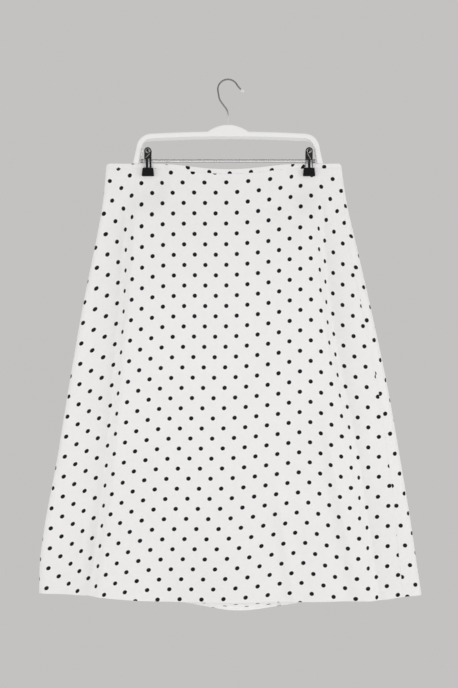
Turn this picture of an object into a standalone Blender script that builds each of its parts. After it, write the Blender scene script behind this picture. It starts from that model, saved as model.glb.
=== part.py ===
"""An a-line midi skirt clipped to a hanger, modelled as it hangs.

The origin is the inner top of the hook's bend, where the hook rests on what carries it.
+X is to the viewer's right, the front of the skirt faces -Y and +Z is up.
Every size below is in millimetres; add_mesh and add_wire turn them into metres.
"""

import math
from collections import namedtuple

import bmesh
import bpy
import numpy as np

MM = 0.001

# The cloth.
WALL = 1.2  # thickness of each cloth wall
SEAM_GAP = 0.3  # between two sewn pieces
BAND_HEIGHT = 8.4  # height of the waistband
LAYER_GAP = 0.4  # between front and back where a clip presses them together
GRIP_OFFSET = (WALL + LAYER_GAP) / 2  # from the hook's plane to the middle of a pressed wall

# One row for each level of the skirt, from the waist edge (fall 0) to the hem (fall 1).
# left, right: the outline seen from the front, from the hook's centre line
# left_turn, right_turn: radius with which the cloth turns round at each side
# left_set, right_set: how far each side hangs behind the hook's plane
# front, back: how far the middle stands out beyond the sides
# seam: from the outline to the side seam, along the cloth
Level = namedtuple(
    "Level", "fall left right left_turn right_turn left_set right_set front back seam"
)
LEVELS = (
    Level(0.00, -226.0, 210.5, 4.0, 4.0, 1.0, 1.0, 6.0, 7.5, 2.0),
    Level(0.09, -233.0, 221.5, 7.0, 8.0, 1.5, 4.0, 9.0, 8.0, 11.0),
    Level(0.16, -243.0, 234.5, 9.0, 12.0, 2.0, 7.0, 13.0, 11.0, 20.0),
    Level(0.32, -268.5, 264.0, 11.0, 15.0, 2.0, 9.0, 17.0, 14.0, 26.0),
    Level(0.50, -293.5, 294.5, 12.0, 14.0, 2.0, 7.0, 17.0, 14.0, 27.0),
    Level(0.70, -319.5, 322.5, 12.0, 12.0, 2.0, 4.0, 15.0, 13.0, 30.0),
    Level(0.85, -341.5, 342.0, 12.0, 12.0, 2.0, 3.0, 14.0, 13.0, 36.5),
    Level(0.93, -349.5, 351.0, 12.0, 12.0, 2.0, 2.0, 14.0, 13.0, 39.0),
    Level(1.00, -351.0, 359.5, 12.0, 12.0, 2.0, 2.0, 14.0, 13.0, 41.0),
)

# Where the middle of each half falls back to its sides: a soft step below each clip.
# waist, upper, lower, hem: its place across the skirt at falls 0, 0.35, 0.7 and 1
# width: how wide the step is
Step = namedtuple("Step", "panel side waist upper lower hem width")
STEPS = (
    Step("front", "left", -175.0, -193.5, -219.0, -247.0, 22.0),
    Step("front", "right", 160.0, 183.0, 235.0, 272.0, 24.0),
    Step("back", "left", -178.0, -200.0, -232.0, -262.0, 34.0),
    Step("back", "right", 172.0, 190.0, 222.0, 246.0, 30.0),
)
STEP_FALLS = (0.0, 0.35, 0.7, 1.0)

# Long soft waves that run down to the hem.
# start, end: its place across the skirt where it begins and at the hem
# start_fall: the level where it begins; width, depth: its half width and how far it stands out
Wave = namedtuple("Wave", "panel start end start_fall width depth")
WAVES = (
    Wave("front", -70.0, -92.0, 0.55, 34.0, -4.0),
    Wave("front", 72.0, 104.0, 0.50, 36.0, -5.0),
    Wave("front", 165.0, 216.0, 0.40, 26.0, -4.5),
    Wave("front", 10.0, 8.0, 0.60, 46.0, 3.0),
    Wave("back", -118.0, -150.0, 0.35, 34.0, -5.0),
    Wave("back", -20.0, -34.0, 0.45, 48.0, 5.0),
    Wave("back", 92.0, 132.0, 0.40, 38.0, -5.5),
)

# The waist edge.
WAIST_DROP = 156.0  # below the hook's seat, at the clips
WAIST_SAG = {"front": 11.0, "back": 13.0}  # in the middle between the clips
CORNER_RADIUS = 6.0  # where the waist edge turns down at each side

# Drop of the hem below the hook's seat, by its place from the left outline (0) to the right (1).
Hem = namedtuple("Hem", "across front back")
HEM = (
    Hem(0.00, 953.0, 953.0),
    Hem(0.06, 954.0, 954.0),
    Hem(0.15, 958.0, 955.5),
    Hem(0.22, 962.5, 958.0),
    Hem(0.36, 966.5, 972.5),
    Hem(0.52, 968.0, 990.0),
    Hem(0.66, 967.0, 977.0),
    Hem(0.82, 965.5, 960.0),
    Hem(0.91, 964.0, 957.5),
    Hem(0.96, 958.5, 957.0),
    Hem(1.00, 956.5, 956.5),
)

# The hanger.
CLIP_PLACES = {"left": -148.8, "right": 150.7}
GRIP_HALF_WIDTH = 15.0  # of the flat place that a clip presses into the cloth
GRIP_DEPTH = 28.0  # of that place, below the waist edge
GRIP_REACH = (34.0, 70.0)  # over which the cloth opens again, sideways and down
PAD_WIDTH = 23.0
PAD_TAPER = 1.5  # how much narrower the pad is at its top, on each side
PAD_TOP = -163.5
PAD_BOTTOM = -178.9
PAD_THICKNESS = 5.0
PAD_CORNER = 1.6
TOUCH_GAP = 0.35  # between two hard pieces that touch, or a pad and the cloth
BAR_LEVEL = -150.3
BAR_RADIUS = 2.75
COLLAR_RADIUS = 3.8
COLLAR_LENGTH = 5.5
COLLAR_END = 162.5  # distance of a collar's outer face from the centre line
SLEEVE_RADIUS = 4.7  # the clip's spring, round the bar
SLEEVE_LENGTH = 10.0
LEG_WIDTH = 13.2
LEG_THICKNESS = 1.1
LEG_TOP = -125.6
LEG_SPREAD = 9.4  # distance of the leg's top from the hook's plane
LEG_FOOT = 4.2  # distance of its foot from the hook's plane
EYE_RADIUS = 3.6  # the hole in the leg's rounded top
RAIL_CREST_BASE = -95.3  # top of the rail in the middle, without the crest
RAIL_BOW = 4.0  # how far the rail's ends lie below its middle
RAIL_HALF = 143.5  # half of the rail's straight part
RAIL_CORNER = 28.0  # outer radius of the corner between rail and arm
ARM_LEAN = math.radians(12.0)
ARM_END = -155.4
CREST_HEIGHT = 12.6
CREST_HALF = 38.0
BEAM_HEIGHT = 10.0
BEAM_DEPTH = 9.0
RIB_HEIGHT = 5.0  # the thin rib under the rail's beam
RIB_HEIGHT_ARM = 1.2
RIB_DEPTH = 4.0
WIRE_RADIUS = 1.5
HOOK_RADIUS = 19.0  # of the wire's centre line
HOOK_FOOT = RAIL_CREST_BASE + CREST_HEIGHT + TOUCH_GAP
TIP_CAP_RADIUS = 3.2
TIP_CAP_LENGTH = 7.5

# How finely the solids are faceted.
COLUMNS = 44  # cells across a front or back piece
FIRST_ROW = 8.0  # height of the first cell below the waistband
ROW_GROWTH = 1.22
LONGEST_ROW = 46.0
FINE_STEPS = 500  # points along each half of a section while it is worked out
FLAT_CELL = 26.0  # width of a cell where the cloth is flat
CELL_TURN = math.radians(24.0)  # most that the cloth turns within a cell


# --- curves -----------------------------------------------------------------


def smooth_through(places, values, at):
    """Read a smooth curve through the given values at the given places."""
    places = np.asarray(places, float)
    values = np.asarray(values, float)
    slopes = np.gradient(values, places)
    at = np.clip(at, places[0], places[-1])
    index = np.clip(np.searchsorted(places, at, side="right") - 1, 0, len(places) - 2)
    span = places[index + 1] - places[index]
    share = (at - places[index]) / span
    start = (1 + 2 * share) * (1 - share) ** 2 * values[index]
    start += share * (1 - share) ** 2 * span * slopes[index]
    end = share**2 * (3 - 2 * share) * values[index + 1]
    end += share**2 * (share - 1) * span * slopes[index + 1]
    return start + end


def column(table, name):
    """One named column of a table, as an array."""
    return np.array([getattr(row, name) for row in table], float)


def level_at(fall):
    """The skirt's level sizes at any fall."""
    falls = column(LEVELS, "fall")
    names = Level._fields[1:]
    return Level(fall, *(float(smooth_through(falls, column(LEVELS, name), fall)) for name in names))


def soft_step(value):
    """0 below 0, 1 above 1, and smooth between."""
    value = np.clip(value, 0.0, 1.0)
    return value * value * (3 - 2 * value)


# --- the skirt's surface ----------------------------------------------------


def turn_profile(distance, radius):
    """How far round a side turn has opened, 0 at the outline and 1 past its radius."""
    left = 1 - np.clip(distance / radius, 0.0, 1.0)
    return np.sqrt(np.clip(1 - left * left, 0.0, 1.0))


def waist_drop(panel, x, level):
    """Drop of the waist edge below the hook's seat at x."""
    reach = (CLIP_PLACES["right"] - CLIP_PLACES["left"]) / 2
    middle = (CLIP_PLACES["right"] + CLIP_PLACES["left"]) / 2
    share = np.clip((x - middle) / reach, -1.0, 1.0)
    sag = WAIST_SAG[panel] * (1 + np.cos(math.pi * share)) / 2
    edge = np.minimum(x - level.left, level.right - x)
    corner = CORNER_RADIUS * (1 - turn_profile(edge, CORNER_RADIUS))
    return WAIST_DROP + sag + corner


def hem_drop(panel, x, level):
    """Drop of the hem below the hook's seat at x."""
    across = (x - level.left) / (level.right - level.left)
    return smooth_through(column(HEM, "across"), column(HEM, panel), across)


def heights(panel, x, level):
    """Height of the cloth at x on a level of the skirt."""
    across = (x - level.left) / (level.right - level.left)
    waist, hem = level_at(0.0), level_at(1.0)
    top = waist_drop(panel, waist.left + across * (waist.right - waist.left), waist)
    bottom = hem_drop(panel, hem.left + across * (hem.right - hem.left), hem)
    return -(top + (bottom - top) * level.fall)


def step_share(panel, side, x, fall):
    """0 on the outer side of a step and 1 on its inner side."""
    step = next(row for row in STEPS if (row.panel, row.side) == (panel, side))
    place = smooth_through(STEP_FALLS, (step.waist, step.upper, step.lower, step.hem), fall)
    share = soft_step((x - place) / step.width + 0.5)
    return share if side == "left" else 1 - share


def wave_offset(panel, x, fall):
    """How far the long waves stand out at x."""
    total = np.zeros_like(x)
    for wave in WAVES:
        if wave.panel == panel and fall > wave.start_fall:
            share = (fall - wave.start_fall) / (1 - wave.start_fall)
            place = wave.start + (wave.end - wave.start) * share
            total += wave.depth * soft_step(share) * np.exp(-(((x - place) / wave.width) ** 2))
    return total


def grip_share(x, z):
    """0 where a clip presses the cloth and 1 where it hangs free."""
    share = np.ones_like(x)
    bottom = -WAIST_DROP - GRIP_DEPTH
    for place in CLIP_PLACES.values():
        aside = np.maximum(np.abs(x - place) - GRIP_HALF_WIDTH, 0.0) / GRIP_REACH[0]
        below = np.maximum(bottom - z, 0.0) / GRIP_REACH[1]
        share *= soft_step(np.hypot(aside, below))
    return share


def half_section(panel, level):
    """Points of the front or back half of a section, from the left outline to the right."""
    angle = np.linspace(0.0, math.pi / 2, FINE_STEPS // 5)
    left = level.left + level.left_turn * (1 - np.cos(angle))
    right = level.right - level.right_turn * (1 - np.cos(angle[::-1]))
    middle = np.linspace(left[-1], right[0], FINE_STEPS)[1:-1]
    x = np.concatenate([left, middle, right])
    in_left = step_share(panel, "left", x, level.fall)
    in_right = step_share(panel, "right", x, level.fall)
    across = (x - level.left) / (level.right - level.left)
    turn = level.left_turn + (level.right_turn - level.left_turn) * soft_step(across)
    opened = turn_profile(x - level.left, level.left_turn)
    opened = opened * turn_profile(level.right - x, level.right_turn)
    behind = level.left_set * (1 - in_left) + level.right_set * (1 - in_right)
    out = turn * opened + getattr(level, panel) * in_left * in_right
    out = out + wave_offset(panel, x, level.fall) * in_left * in_right
    z = heights(panel, x, level)
    outward = -1.0 if panel == "front" else 1.0
    grip = grip_share(x, z)
    free = behind + outward * out
    y = outward * GRIP_OFFSET * opened + (free - outward * GRIP_OFFSET * opened) * grip
    return np.stack([x, y, z], axis=1)


def section(level):
    """Points all round a section, anticlockwise from above, and the length up to each.

    It runs from the left outline along the front to the right outline and back along the back.
    """
    front = half_section("front", level)
    back = half_section("back", level)[::-1]
    points = np.concatenate([front, back[1:]])
    steps = np.hypot(np.diff(points[:, 0]), np.diff(points[:, 1]))
    lengths = np.concatenate([[0.0], np.cumsum(steps)])
    return points, lengths, lengths[len(front) - 1]


def piece_range(panel, lengths, front_length, level):
    """Where a piece starts and ends along its section, both seams being the same way round."""
    trim = SEAM_GAP / 2
    girth = lengths[-1]
    right_seam = front_length - level.seam
    left_seam = right_seam - girth / 2
    if panel == "front":
        return left_seam + trim, right_seam - trim
    return right_seam + trim, left_seam + girth - trim


def section_row(panel, fall, count):
    """Points across one piece at one level, closer together where the cloth turns."""
    level = level_at(fall)
    points, lengths, front_length = section(level)
    start, end = piece_range(panel, lengths, front_length, level)
    girth = lengths[-1]
    along = np.linspace(start, end, 4 * FINE_STEPS)
    doubled = np.concatenate([lengths - girth, lengths[1:], lengths[1:] + girth])
    ring = np.concatenate([points, points[1:], points[1:]])
    fine = np.stack([np.interp(along, doubled, ring[:, axis]) for axis in range(3)], axis=1)
    step = np.diff(fine[:, :2], axis=0)
    heading = np.unwrap(np.arctan2(step[:, 1], step[:, 0]))
    turning = np.abs(np.gradient(heading))
    shares = np.hypot(step[:, 0], step[:, 1]) / FLAT_CELL + turning / CELL_TURN
    weight = np.concatenate([[0.0], np.cumsum(shares)])
    picked = np.interp(np.linspace(0.0, weight[-1], count + 1), weight, np.arange(len(fine)))
    order = np.arange(len(fine))
    return np.stack([np.interp(picked, order, fine[:, axis]) for axis in range(3)], axis=1)


def piece_falls():
    """Levels of a front or back piece's rows, closer together below the waistband."""
    length = column(HEM, "front").mean() - WAIST_DROP
    down = [BAND_HEIGHT + SEAM_GAP]
    height = FIRST_ROW
    while down[-1] + height < length - LONGEST_ROW / 2:
        down.append(down[-1] + height)
        height = min(height * ROW_GROWTH, LONGEST_ROW)
    return np.array(down + [length]) / length


def band_falls():
    """Levels of a waistband piece's rows."""
    length = column(HEM, "front").mean() - WAIST_DROP
    return np.array([0.0, BAND_HEIGHT / 2, BAND_HEIGHT]) / length


# --- meshes -----------------------------------------------------------------


def material(name, colour, roughness, metallic=0.0):
    """A plain Principled material."""
    made = bpy.data.materials.new(name)
    made.use_nodes = True
    shader = made.node_tree.nodes["Principled BSDF"]
    shader.inputs["Base Color"].default_value = (*colour, 1.0)
    shader.inputs["Roughness"].default_value = roughness
    shader.inputs["Metallic"].default_value = metallic
    return made


def finish_mesh(name, mesh, finish, parent):
    """Put a mesh in the scene as an object with its material."""
    mesh.materials.append(finish)
    mesh.shade_smooth()
    mesh.set_sharp_from_angle(angle=math.radians(40.0))
    made = bpy.data.objects.new(name, mesh)
    bpy.context.collection.objects.link(made)
    made.parent = parent
    return made


def add_mesh(name, points, faces, finish, parent):
    """An object from points in millimetres and faces, with its normals made to point outwards."""
    shape = bmesh.new()
    corners = [shape.verts.new([value * MM for value in point]) for point in points]
    for face in faces:
        shape.faces.new([corners[index] for index in face])
    bmesh.ops.recalc_face_normals(shape, faces=shape.faces)
    mesh = bpy.data.meshes.new(name)
    shape.to_mesh(mesh)
    shape.free()
    return finish_mesh(name, mesh, finish, parent)


def grid_normals(grid):
    """Unit normals of a grid of points, pointing out of the skirt."""
    down = np.gradient(grid, axis=0)
    along = np.gradient(grid, axis=1)
    normals = np.cross(along, down)
    normals /= np.linalg.norm(normals, axis=2, keepdims=True)
    return -normals


def cloth_wall(name, grid, finish, parent):
    """A closed wall of cloth whose middle is the grid of points."""
    rows, columns = grid.shape[:2]
    shift = grid_normals(grid) * WALL / 2
    points = np.concatenate([(grid + shift).reshape(-1, 3), (grid - shift).reshape(-1, 3)])
    outer = np.arange(rows * columns).reshape(rows, columns)
    inner = outer + rows * columns
    faces = []
    for row in range(rows - 1):
        for place in range(columns - 1):
            ring = [(row, place), (row, place + 1), (row + 1, place + 1), (row + 1, place)]
            faces.append([outer[at] for at in ring])
            faces.append([inner[at] for at in reversed(ring)])
    rim = [(0, place) for place in range(columns)]
    rim += [(row, columns - 1) for row in range(1, rows)]
    rim += [(rows - 1, place) for place in range(columns - 2, -1, -1)]
    rim += [(row, 0) for row in range(rows - 2, 0, -1)]
    for here, after in zip(rim, rim[1:] + rim[:1]):
        faces.append([outer[after], outer[here], inner[here], inner[after]])
    return add_mesh(name, points, faces, finish, parent)


def swept(name, rings, finish, parent):
    """A closed solid through rings of points, with flat ends."""
    count = len(rings[0])
    points = [point for ring in rings for point in ring]
    faces = [list(range(count))[::-1]]
    for index in range(len(rings) - 1):
        base = index * count
        for side in range(count):
            after = (side + 1) % count
            faces.append([base + side, base + after, base + count + after, base + count + side])
    last = (len(rings) - 1) * count
    faces.append([last + side for side in range(count)])
    return add_mesh(name, points, faces, finish, parent)


def lying_rod(name, start, end, radius, finish, parent, hole=0.0, sides=20):
    """A rod along X at the bar's level, or a tube when it has a hole."""
    angles = [2 * math.pi * side / sides for side in range(sides)]

    def ring(x, size):
        return [(x, size * math.cos(a), BAR_LEVEL + size * math.sin(a)) for a in angles]

    if not hole:
        return swept(name, [ring(start, radius), ring(end, radius)], finish, parent)
    rings = [ring(start, hole), ring(start, radius), ring(end, radius), ring(end, hole)]
    points = [point for part in rings for point in part]
    faces = []
    for index in range(len(rings)):
        base, following = index * sides, (index + 1) % len(rings) * sides
        for side in range(sides):
            after = (side + 1) % sides
            faces.append([base + side, base + after, following + after, following + side])
    return add_mesh(name, points, faces, finish, parent)


# --- the hanger -------------------------------------------------------------


def rail_path():
    """Outer edge of the hanger's right half, from the middle to the arm's end.

    Each point is (x, z, heading, crest, rib): the heading turns from level to down the arm.
    """
    path = []
    near = [CREST_HALF * share / 8 for share in range(9)]
    far = [CREST_HALF + (RAIL_HALF - CREST_HALF) * share / 4 for share in range(1, 5)]
    for x in near + far:
        crest = CREST_HEIGHT * max(1 - (x / CREST_HALF) ** 2, 0.0)
        z = RAIL_CREST_BASE - RAIL_BOW * (x / RAIL_HALF) ** 2
        heading = math.atan(2 * RAIL_BOW * x / RAIL_HALF**2)
        path.append((x, z, heading, crest, RIB_HEIGHT))
    start_x, start_z, start_heading = path[-1][:3]
    end_heading = math.pi / 2 - ARM_LEAN
    bends = 8
    for bend in range(1, bends + 1):
        heading = start_heading + (end_heading - start_heading) * bend / bends
        x = start_x + RAIL_CORNER * (math.sin(heading) - math.sin(start_heading))
        z = start_z - RAIL_CORNER * (math.cos(start_heading) - math.cos(heading))
        rib = RIB_HEIGHT + (RIB_HEIGHT_ARM - RIB_HEIGHT) * bend / bends
        path.append((x, z, heading, 0.0, rib))
    bend_x, bend_z = path[-1][:2]
    for share in (0.5, 1.0):
        z = bend_z + (ARM_END - bend_z) * share
        path.append((bend_x + (bend_z - z) * math.tan(ARM_LEAN), z, end_heading, 0.0, RIB_HEIGHT_ARM))
    return path


def rail_ring(x, z, heading, crest, rib):
    """The rail's section at a point of its outer edge: a rounded beam with a thin rib inside."""
    half = BEAM_DEPTH / 2
    rib_half = RIB_DEPTH / 2
    side = (
        (-crest, half - 1.7),
        (1.2 - crest, half - 0.4),
        (3.0 - crest, half),
        (BEAM_HEIGHT - 1.8, half),
        (BEAM_HEIGHT - 0.4, half - 0.6),
        (BEAM_HEIGHT, rib_half),
        (BEAM_HEIGHT + rib, rib_half),
    )
    outline = [(inward, -y) for inward, y in side] + [(inward, y) for inward, y in reversed(side)]
    return [(x - inward * math.sin(heading), y, z - inward * math.cos(heading)) for inward, y in outline]


def cut_level(ring):
    """The arm's last section, slid along the arm until it ends level."""
    return [(x + (z - ARM_END) * math.tan(ARM_LEAN), y, ARM_END) for x, y, z in ring]


def add_rail(finish, parent):
    """The moulded rail with its crest and arms."""
    right = [rail_ring(*point) for point in rail_path()]
    right[-1] = cut_level(right[-1])
    left = [[(-x, y, z) for x, y, z in ring] for ring in right[:0:-1]]
    return swept("hanger_rail", left + right, finish, parent)


def hook_route():
    """Centre line of the hook's wire, from its foot on the crest to its tip, as (x, z)."""
    centre = WIRE_RADIUS - HOOK_RADIUS
    knots = [
        (0.0, HOOK_FOOT),
        (0.3, -74.0),
        (0.4, -66.0),
        (-1.8, -56.0),
        (-8.4, -46.5),
        (-15.4, -36.0),
    ]
    arc_steps = 12
    arc_start, arc_end = math.radians(197.0), math.radians(24.0)
    for step in range(arc_steps + 1):
        angle = arc_start + (arc_end - arc_start) * step / arc_steps
        knots.append((HOOK_RADIUS * math.cos(angle), centre + HOOK_RADIUS * math.sin(angle)))
    knots += [(20.4, -13.6), (24.0, -17.4)]
    knots = np.array(knots)
    places = np.concatenate([[0.0], np.cumsum(np.linalg.norm(np.diff(knots, axis=0), axis=1))])
    at = np.linspace(0.0, places[-1], 48)
    return np.stack([smooth_through(places, knots[:, axis], at) for axis in range(2)], axis=1)


def add_wire(name, route, radius, finish, parent):
    """A round wire along a route of (x, z) points."""
    curve = bpy.data.curves.new(name, "CURVE")
    curve.dimensions = "3D"
    curve.bevel_depth = radius * MM
    curve.bevel_resolution = 3
    curve.use_fill_caps = True
    curve.materials.append(finish)
    spline = curve.splines.new("POLY")
    spline.points.add(len(route) - 1)
    for point, (x, z) in zip(spline.points, route):
        point.co = (x * MM, 0.0, z * MM, 1.0)
    made = bpy.data.objects.new(name, curve)
    bpy.context.collection.objects.link(made)
    made.parent = parent
    return made


def add_tip_cap(route, finish, parent):
    """The small clear cap on the hook's tip."""
    direction = route[-1] - route[-2]
    direction /= np.linalg.norm(direction)
    across = np.array([-direction[1], direction[0]])
    rings = []
    bands, sides = 8, 12
    first_angle, last_angle = math.radians(22.0), math.radians(175.0)
    for band in range(bands + 1):
        angle = first_angle + (last_angle - first_angle) * band / bands
        along = TIP_CAP_LENGTH / 2 * (math.cos(first_angle) - math.cos(angle))
        centre = route[-1] + direction * (TOUCH_GAP + along)
        size = TIP_CAP_RADIUS * math.sin(angle)
        ring = []
        for side in range(sides):
            turn = 2 * math.pi * side / sides
            x, z = centre + across * size * math.cos(turn)
            ring.append((x, size * math.sin(turn), z))
        rings.append(ring)
    return swept("hook_tip_cap", rings, finish, parent)


# --- the clips --------------------------------------------------------------


def leg_offset(z):
    """Distance of a leg's middle from the hook's plane at height z."""
    at_bar = SLEEVE_RADIUS + TOUCH_GAP + LEG_THICKNESS / 2
    levels = (PAD_TOP, BAR_LEVEL, LEG_TOP)
    return float(smooth_through(levels, (LEG_FOOT, at_bar, LEG_SPREAD), z))


def add_leg(name, place, outward, finish, parent):
    """A clip's sheet-metal leg: a bent strip with a rounded top and an eye in it."""
    half = LEG_WIDTH / 2
    foot = PAD_TOP + TOUCH_GAP
    eye_level = LEG_TOP - half
    levels = [foot + (eye_level - foot) * share / 6 for share in range(6)]
    top = [math.pi * step / 12 for step in range(13)]
    round_eye = [math.pi * step / 8 for step in range(16)]
    outline = [(half, z) for z in levels]
    outline += [(half * math.cos(a), eye_level + half * math.sin(a)) for a in top]
    outline += [(-half, z) for z in reversed(levels)]
    eye = [(EYE_RADIUS * math.cos(a), eye_level + EYE_RADIUS * math.sin(a)) for a in round_eye]
    shape = bmesh.new()
    edges = []
    for loop in (outline, eye):
        corners = [shape.verts.new((x, 0.0, z)) for x, z in loop]
        edges += [shape.edges.new(pair) for pair in zip(corners, corners[1:] + corners[:1])]
    bmesh.ops.triangle_fill(shape, use_beauty=True, use_dissolve=False, edges=edges)
    slab = bmesh.ops.extrude_face_region(shape, geom=shape.faces[:])
    for corner in slab["geom"]:
        if isinstance(corner, bmesh.types.BMVert):
            corner.co.y = LEG_THICKNESS
    for corner in shape.verts:
        middle = outward * leg_offset(corner.co.z)
        corner.co = (
            (place + corner.co.x) * MM,
            (middle + corner.co.y - LEG_THICKNESS / 2) * MM,
            corner.co.z * MM,
        )
    bmesh.ops.recalc_face_normals(shape, faces=shape.faces)
    mesh = bpy.data.meshes.new(name)
    shape.to_mesh(mesh)
    shape.free()
    return finish_mesh(name, mesh, finish, parent)


def add_pad(name, place, outward, finish, parent):
    """A clip's soft pad: a block with rounded outer edges that presses the cloth."""
    inner = GRIP_OFFSET + WALL / 2 + TOUCH_GAP
    outer = inner + PAD_THICKNESS
    shape = bmesh.new()
    bmesh.ops.create_cube(shape, size=1.0)
    for corner in shape.verts:
        at_top = corner.co.z > 0
        half = PAD_WIDTH / 2 - (PAD_TAPER if at_top else 0.0)
        outside = corner.co.y > 0
        corner.co = (
            (place + math.copysign(half, corner.co.x)) * MM,
            outward * (outer if outside else inner) * MM,
            (PAD_TOP if at_top else PAD_BOTTOM) * MM,
        )
    bmesh.ops.recalc_face_normals(shape, faces=shape.faces)
    middle = (inner + outer) / 2 * MM
    outer_edges = [edge for edge in shape.edges if any(abs(v.co.y) > middle for v in edge.verts)]
    bmesh.ops.bevel(
        shape,
        geom=outer_edges,
        offset=PAD_CORNER * MM,
        segments=3,
        profile=0.5,
        affect="EDGES",
        material=-1,
    )
    bmesh.ops.recalc_face_normals(shape, faces=shape.faces)
    mesh = bpy.data.meshes.new(name)
    shape.to_mesh(mesh)
    shape.free()
    return finish_mesh(name, mesh, finish, parent)


def add_clip(side, place, finishes, parent):
    """A clip: a spring sleeve round the bar, and a leg and a pad in front and behind."""
    lying_rod(
        f"clip_{side}_spring",
        place - SLEEVE_LENGTH / 2,
        place + SLEEVE_LENGTH / 2,
        SLEEVE_RADIUS,
        finishes["chrome"],
        parent,
        hole=BAR_RADIUS + TOUCH_GAP,
    )
    for facing, outward in (("front", -1.0), ("back", 1.0)):
        add_leg(f"clip_{side}_{facing}_leg", place, outward, finishes["clip"], parent)
        add_pad(f"clip_{side}_{facing}_pad", place, outward, finishes["pad"], parent)


def add_bar(finishes, parent):
    """The bar between the arms, with a collar at each end."""
    end = COLLAR_END - COLLAR_LENGTH - TOUCH_GAP
    lying_rod("clip_bar", -end, end, BAR_RADIUS, finishes["chrome"], parent)
    for side, sign in (("left", -1), ("right", 1)):
        ends = sorted((sign * (COLLAR_END - COLLAR_LENGTH), sign * COLLAR_END))
        lying_rod(f"bar_collar_{side}", *ends, COLLAR_RADIUS, finishes["collar"], parent)


# --- the whole --------------------------------------------------------------


def add_skirt(finishes, parent):
    """The front, the back and the two halves of the waistband."""
    for panel in ("front", "back"):
        for name, falls, cloth in (
            (f"skirt_{panel}", piece_falls(), "cloth"),
            (f"waistband_{panel}", band_falls(), "band"),
        ):
            grid = np.array([section_row(panel, fall, COLUMNS) for fall in falls])
            cloth_wall(name, grid, finishes[cloth], parent)


def add_hanger(finishes, parent):
    """The rail, hook, bar and clips."""
    add_rail(finishes["moulding"], parent)
    route = hook_route()
    add_wire("hanger_hook", route, WIRE_RADIUS, finishes["chrome"], parent)
    add_tip_cap(route, finishes["cap"], parent)
    add_bar(finishes, parent)
    for side, place in CLIP_PLACES.items():
        add_clip(side, place, finishes, parent)


def main():
    """Clear the scene and build the skirt on its hanger."""
    for thing in list(bpy.data.objects):
        bpy.data.objects.remove(thing)
    finishes = {
        "cloth": material("white_cloth", (0.84, 0.83, 0.82), 0.7),
        "band": material("white_band", (0.82, 0.81, 0.80), 0.7),
        "moulding": material("white_moulding", (0.83, 0.83, 0.82), 0.4),
        "chrome": material("chrome", (0.78, 0.78, 0.79), 0.15, 1.0),
        "collar": material("grey_collar", (0.45, 0.45, 0.46), 0.35, 0.8),
        "clip": material("dark_clip", (0.12, 0.12, 0.12), 0.3, 0.9),
        "pad": material("black_pad", (0.015, 0.015, 0.015), 0.5),
        "cap": material("clear_cap", (0.8, 0.8, 0.8), 0.2),
    }
    hung = bpy.data.objects.new("hung_by_the_hook", None)
    bpy.context.collection.objects.link(hung)
    add_skirt(finishes, hung)
    add_hanger(finishes, hung)


main()
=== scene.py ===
"""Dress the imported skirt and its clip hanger, and light them for the camera.

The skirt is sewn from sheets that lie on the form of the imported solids: a front, a back and
the two halves of a folded waistband, with a turned-up hem. The dots are printed on each
sheet's own flat pattern, so they follow the cloth round its folds.

Sizes are in millimetres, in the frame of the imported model, unless a name ends in _m.
"""

from __future__ import annotations

import logging
import math
from dataclasses import dataclass, field
from enum import Enum
from typing import NamedTuple, Sequence

import bmesh
import bpy
import numpy as np
from mathutils import Matrix, Vector

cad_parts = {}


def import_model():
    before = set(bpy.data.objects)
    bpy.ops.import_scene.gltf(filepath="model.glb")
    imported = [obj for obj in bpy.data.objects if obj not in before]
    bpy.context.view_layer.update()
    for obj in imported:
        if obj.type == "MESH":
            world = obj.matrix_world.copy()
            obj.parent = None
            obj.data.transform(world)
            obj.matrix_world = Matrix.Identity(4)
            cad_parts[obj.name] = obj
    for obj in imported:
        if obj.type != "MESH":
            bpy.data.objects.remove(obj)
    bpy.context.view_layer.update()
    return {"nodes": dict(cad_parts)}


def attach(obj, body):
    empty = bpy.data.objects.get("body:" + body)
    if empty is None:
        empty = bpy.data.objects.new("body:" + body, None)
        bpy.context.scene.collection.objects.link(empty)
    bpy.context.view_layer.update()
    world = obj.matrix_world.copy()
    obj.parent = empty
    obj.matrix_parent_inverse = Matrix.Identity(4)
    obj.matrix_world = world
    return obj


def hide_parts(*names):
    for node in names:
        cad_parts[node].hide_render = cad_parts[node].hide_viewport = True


LOG = logging.getLogger("skirt")
MM = 0.001
PHOTO_ROWS = 688  # height of the photograph in pixels
MM_PER_PIXEL = 1.86  # its scale in the plane of the hanger
NO_HEM = 1000.0  # distance from the hem of cloth that has none
RIM_WELD_M = 2e-6  # rim points nearer than this are one

Colour = tuple[float, float, float, float]


# --- tables and curves ------------------------------------------------------


def column(rows: Sequence[NamedTuple], name: str) -> list[float]:
    """One named column of a table."""
    return [getattr(row, name) for row in rows]


def smooth_through(places: Sequence[float], values: Sequence[float], at: np.ndarray) -> np.ndarray:
    """Read a smooth curve through values at places.

    Args:
        places: Rising places of the values.
        values: The curve's value at each place.
        at: Where the curve is read; past the ends it keeps the end's value.

    Returns:
        The curve's value at each of at.
    """
    places = np.asarray(places, float)
    values = np.asarray(values, float)
    slopes = np.gradient(values, places)
    at = np.clip(at, places[0], places[-1])
    index = np.clip(np.searchsorted(places, at, side="right") - 1, 0, len(places) - 2)
    span = places[index + 1] - places[index]
    share = (at - places[index]) / span
    start = (1 + 2 * share) * (1 - share) ** 2 * values[index]
    start += share * (1 - share) ** 2 * span * slopes[index]
    end = share**2 * (3 - 2 * share) * values[index + 1]
    end += share**2 * (share - 1) * span * slopes[index + 1]
    return start + end


def soft_step(value: np.ndarray) -> np.ndarray:
    """0 below 0, 1 above 1, and smooth between."""
    value = np.clip(value, 0.0, 1.0)
    return value * value * (3 - 2 * value)


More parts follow.
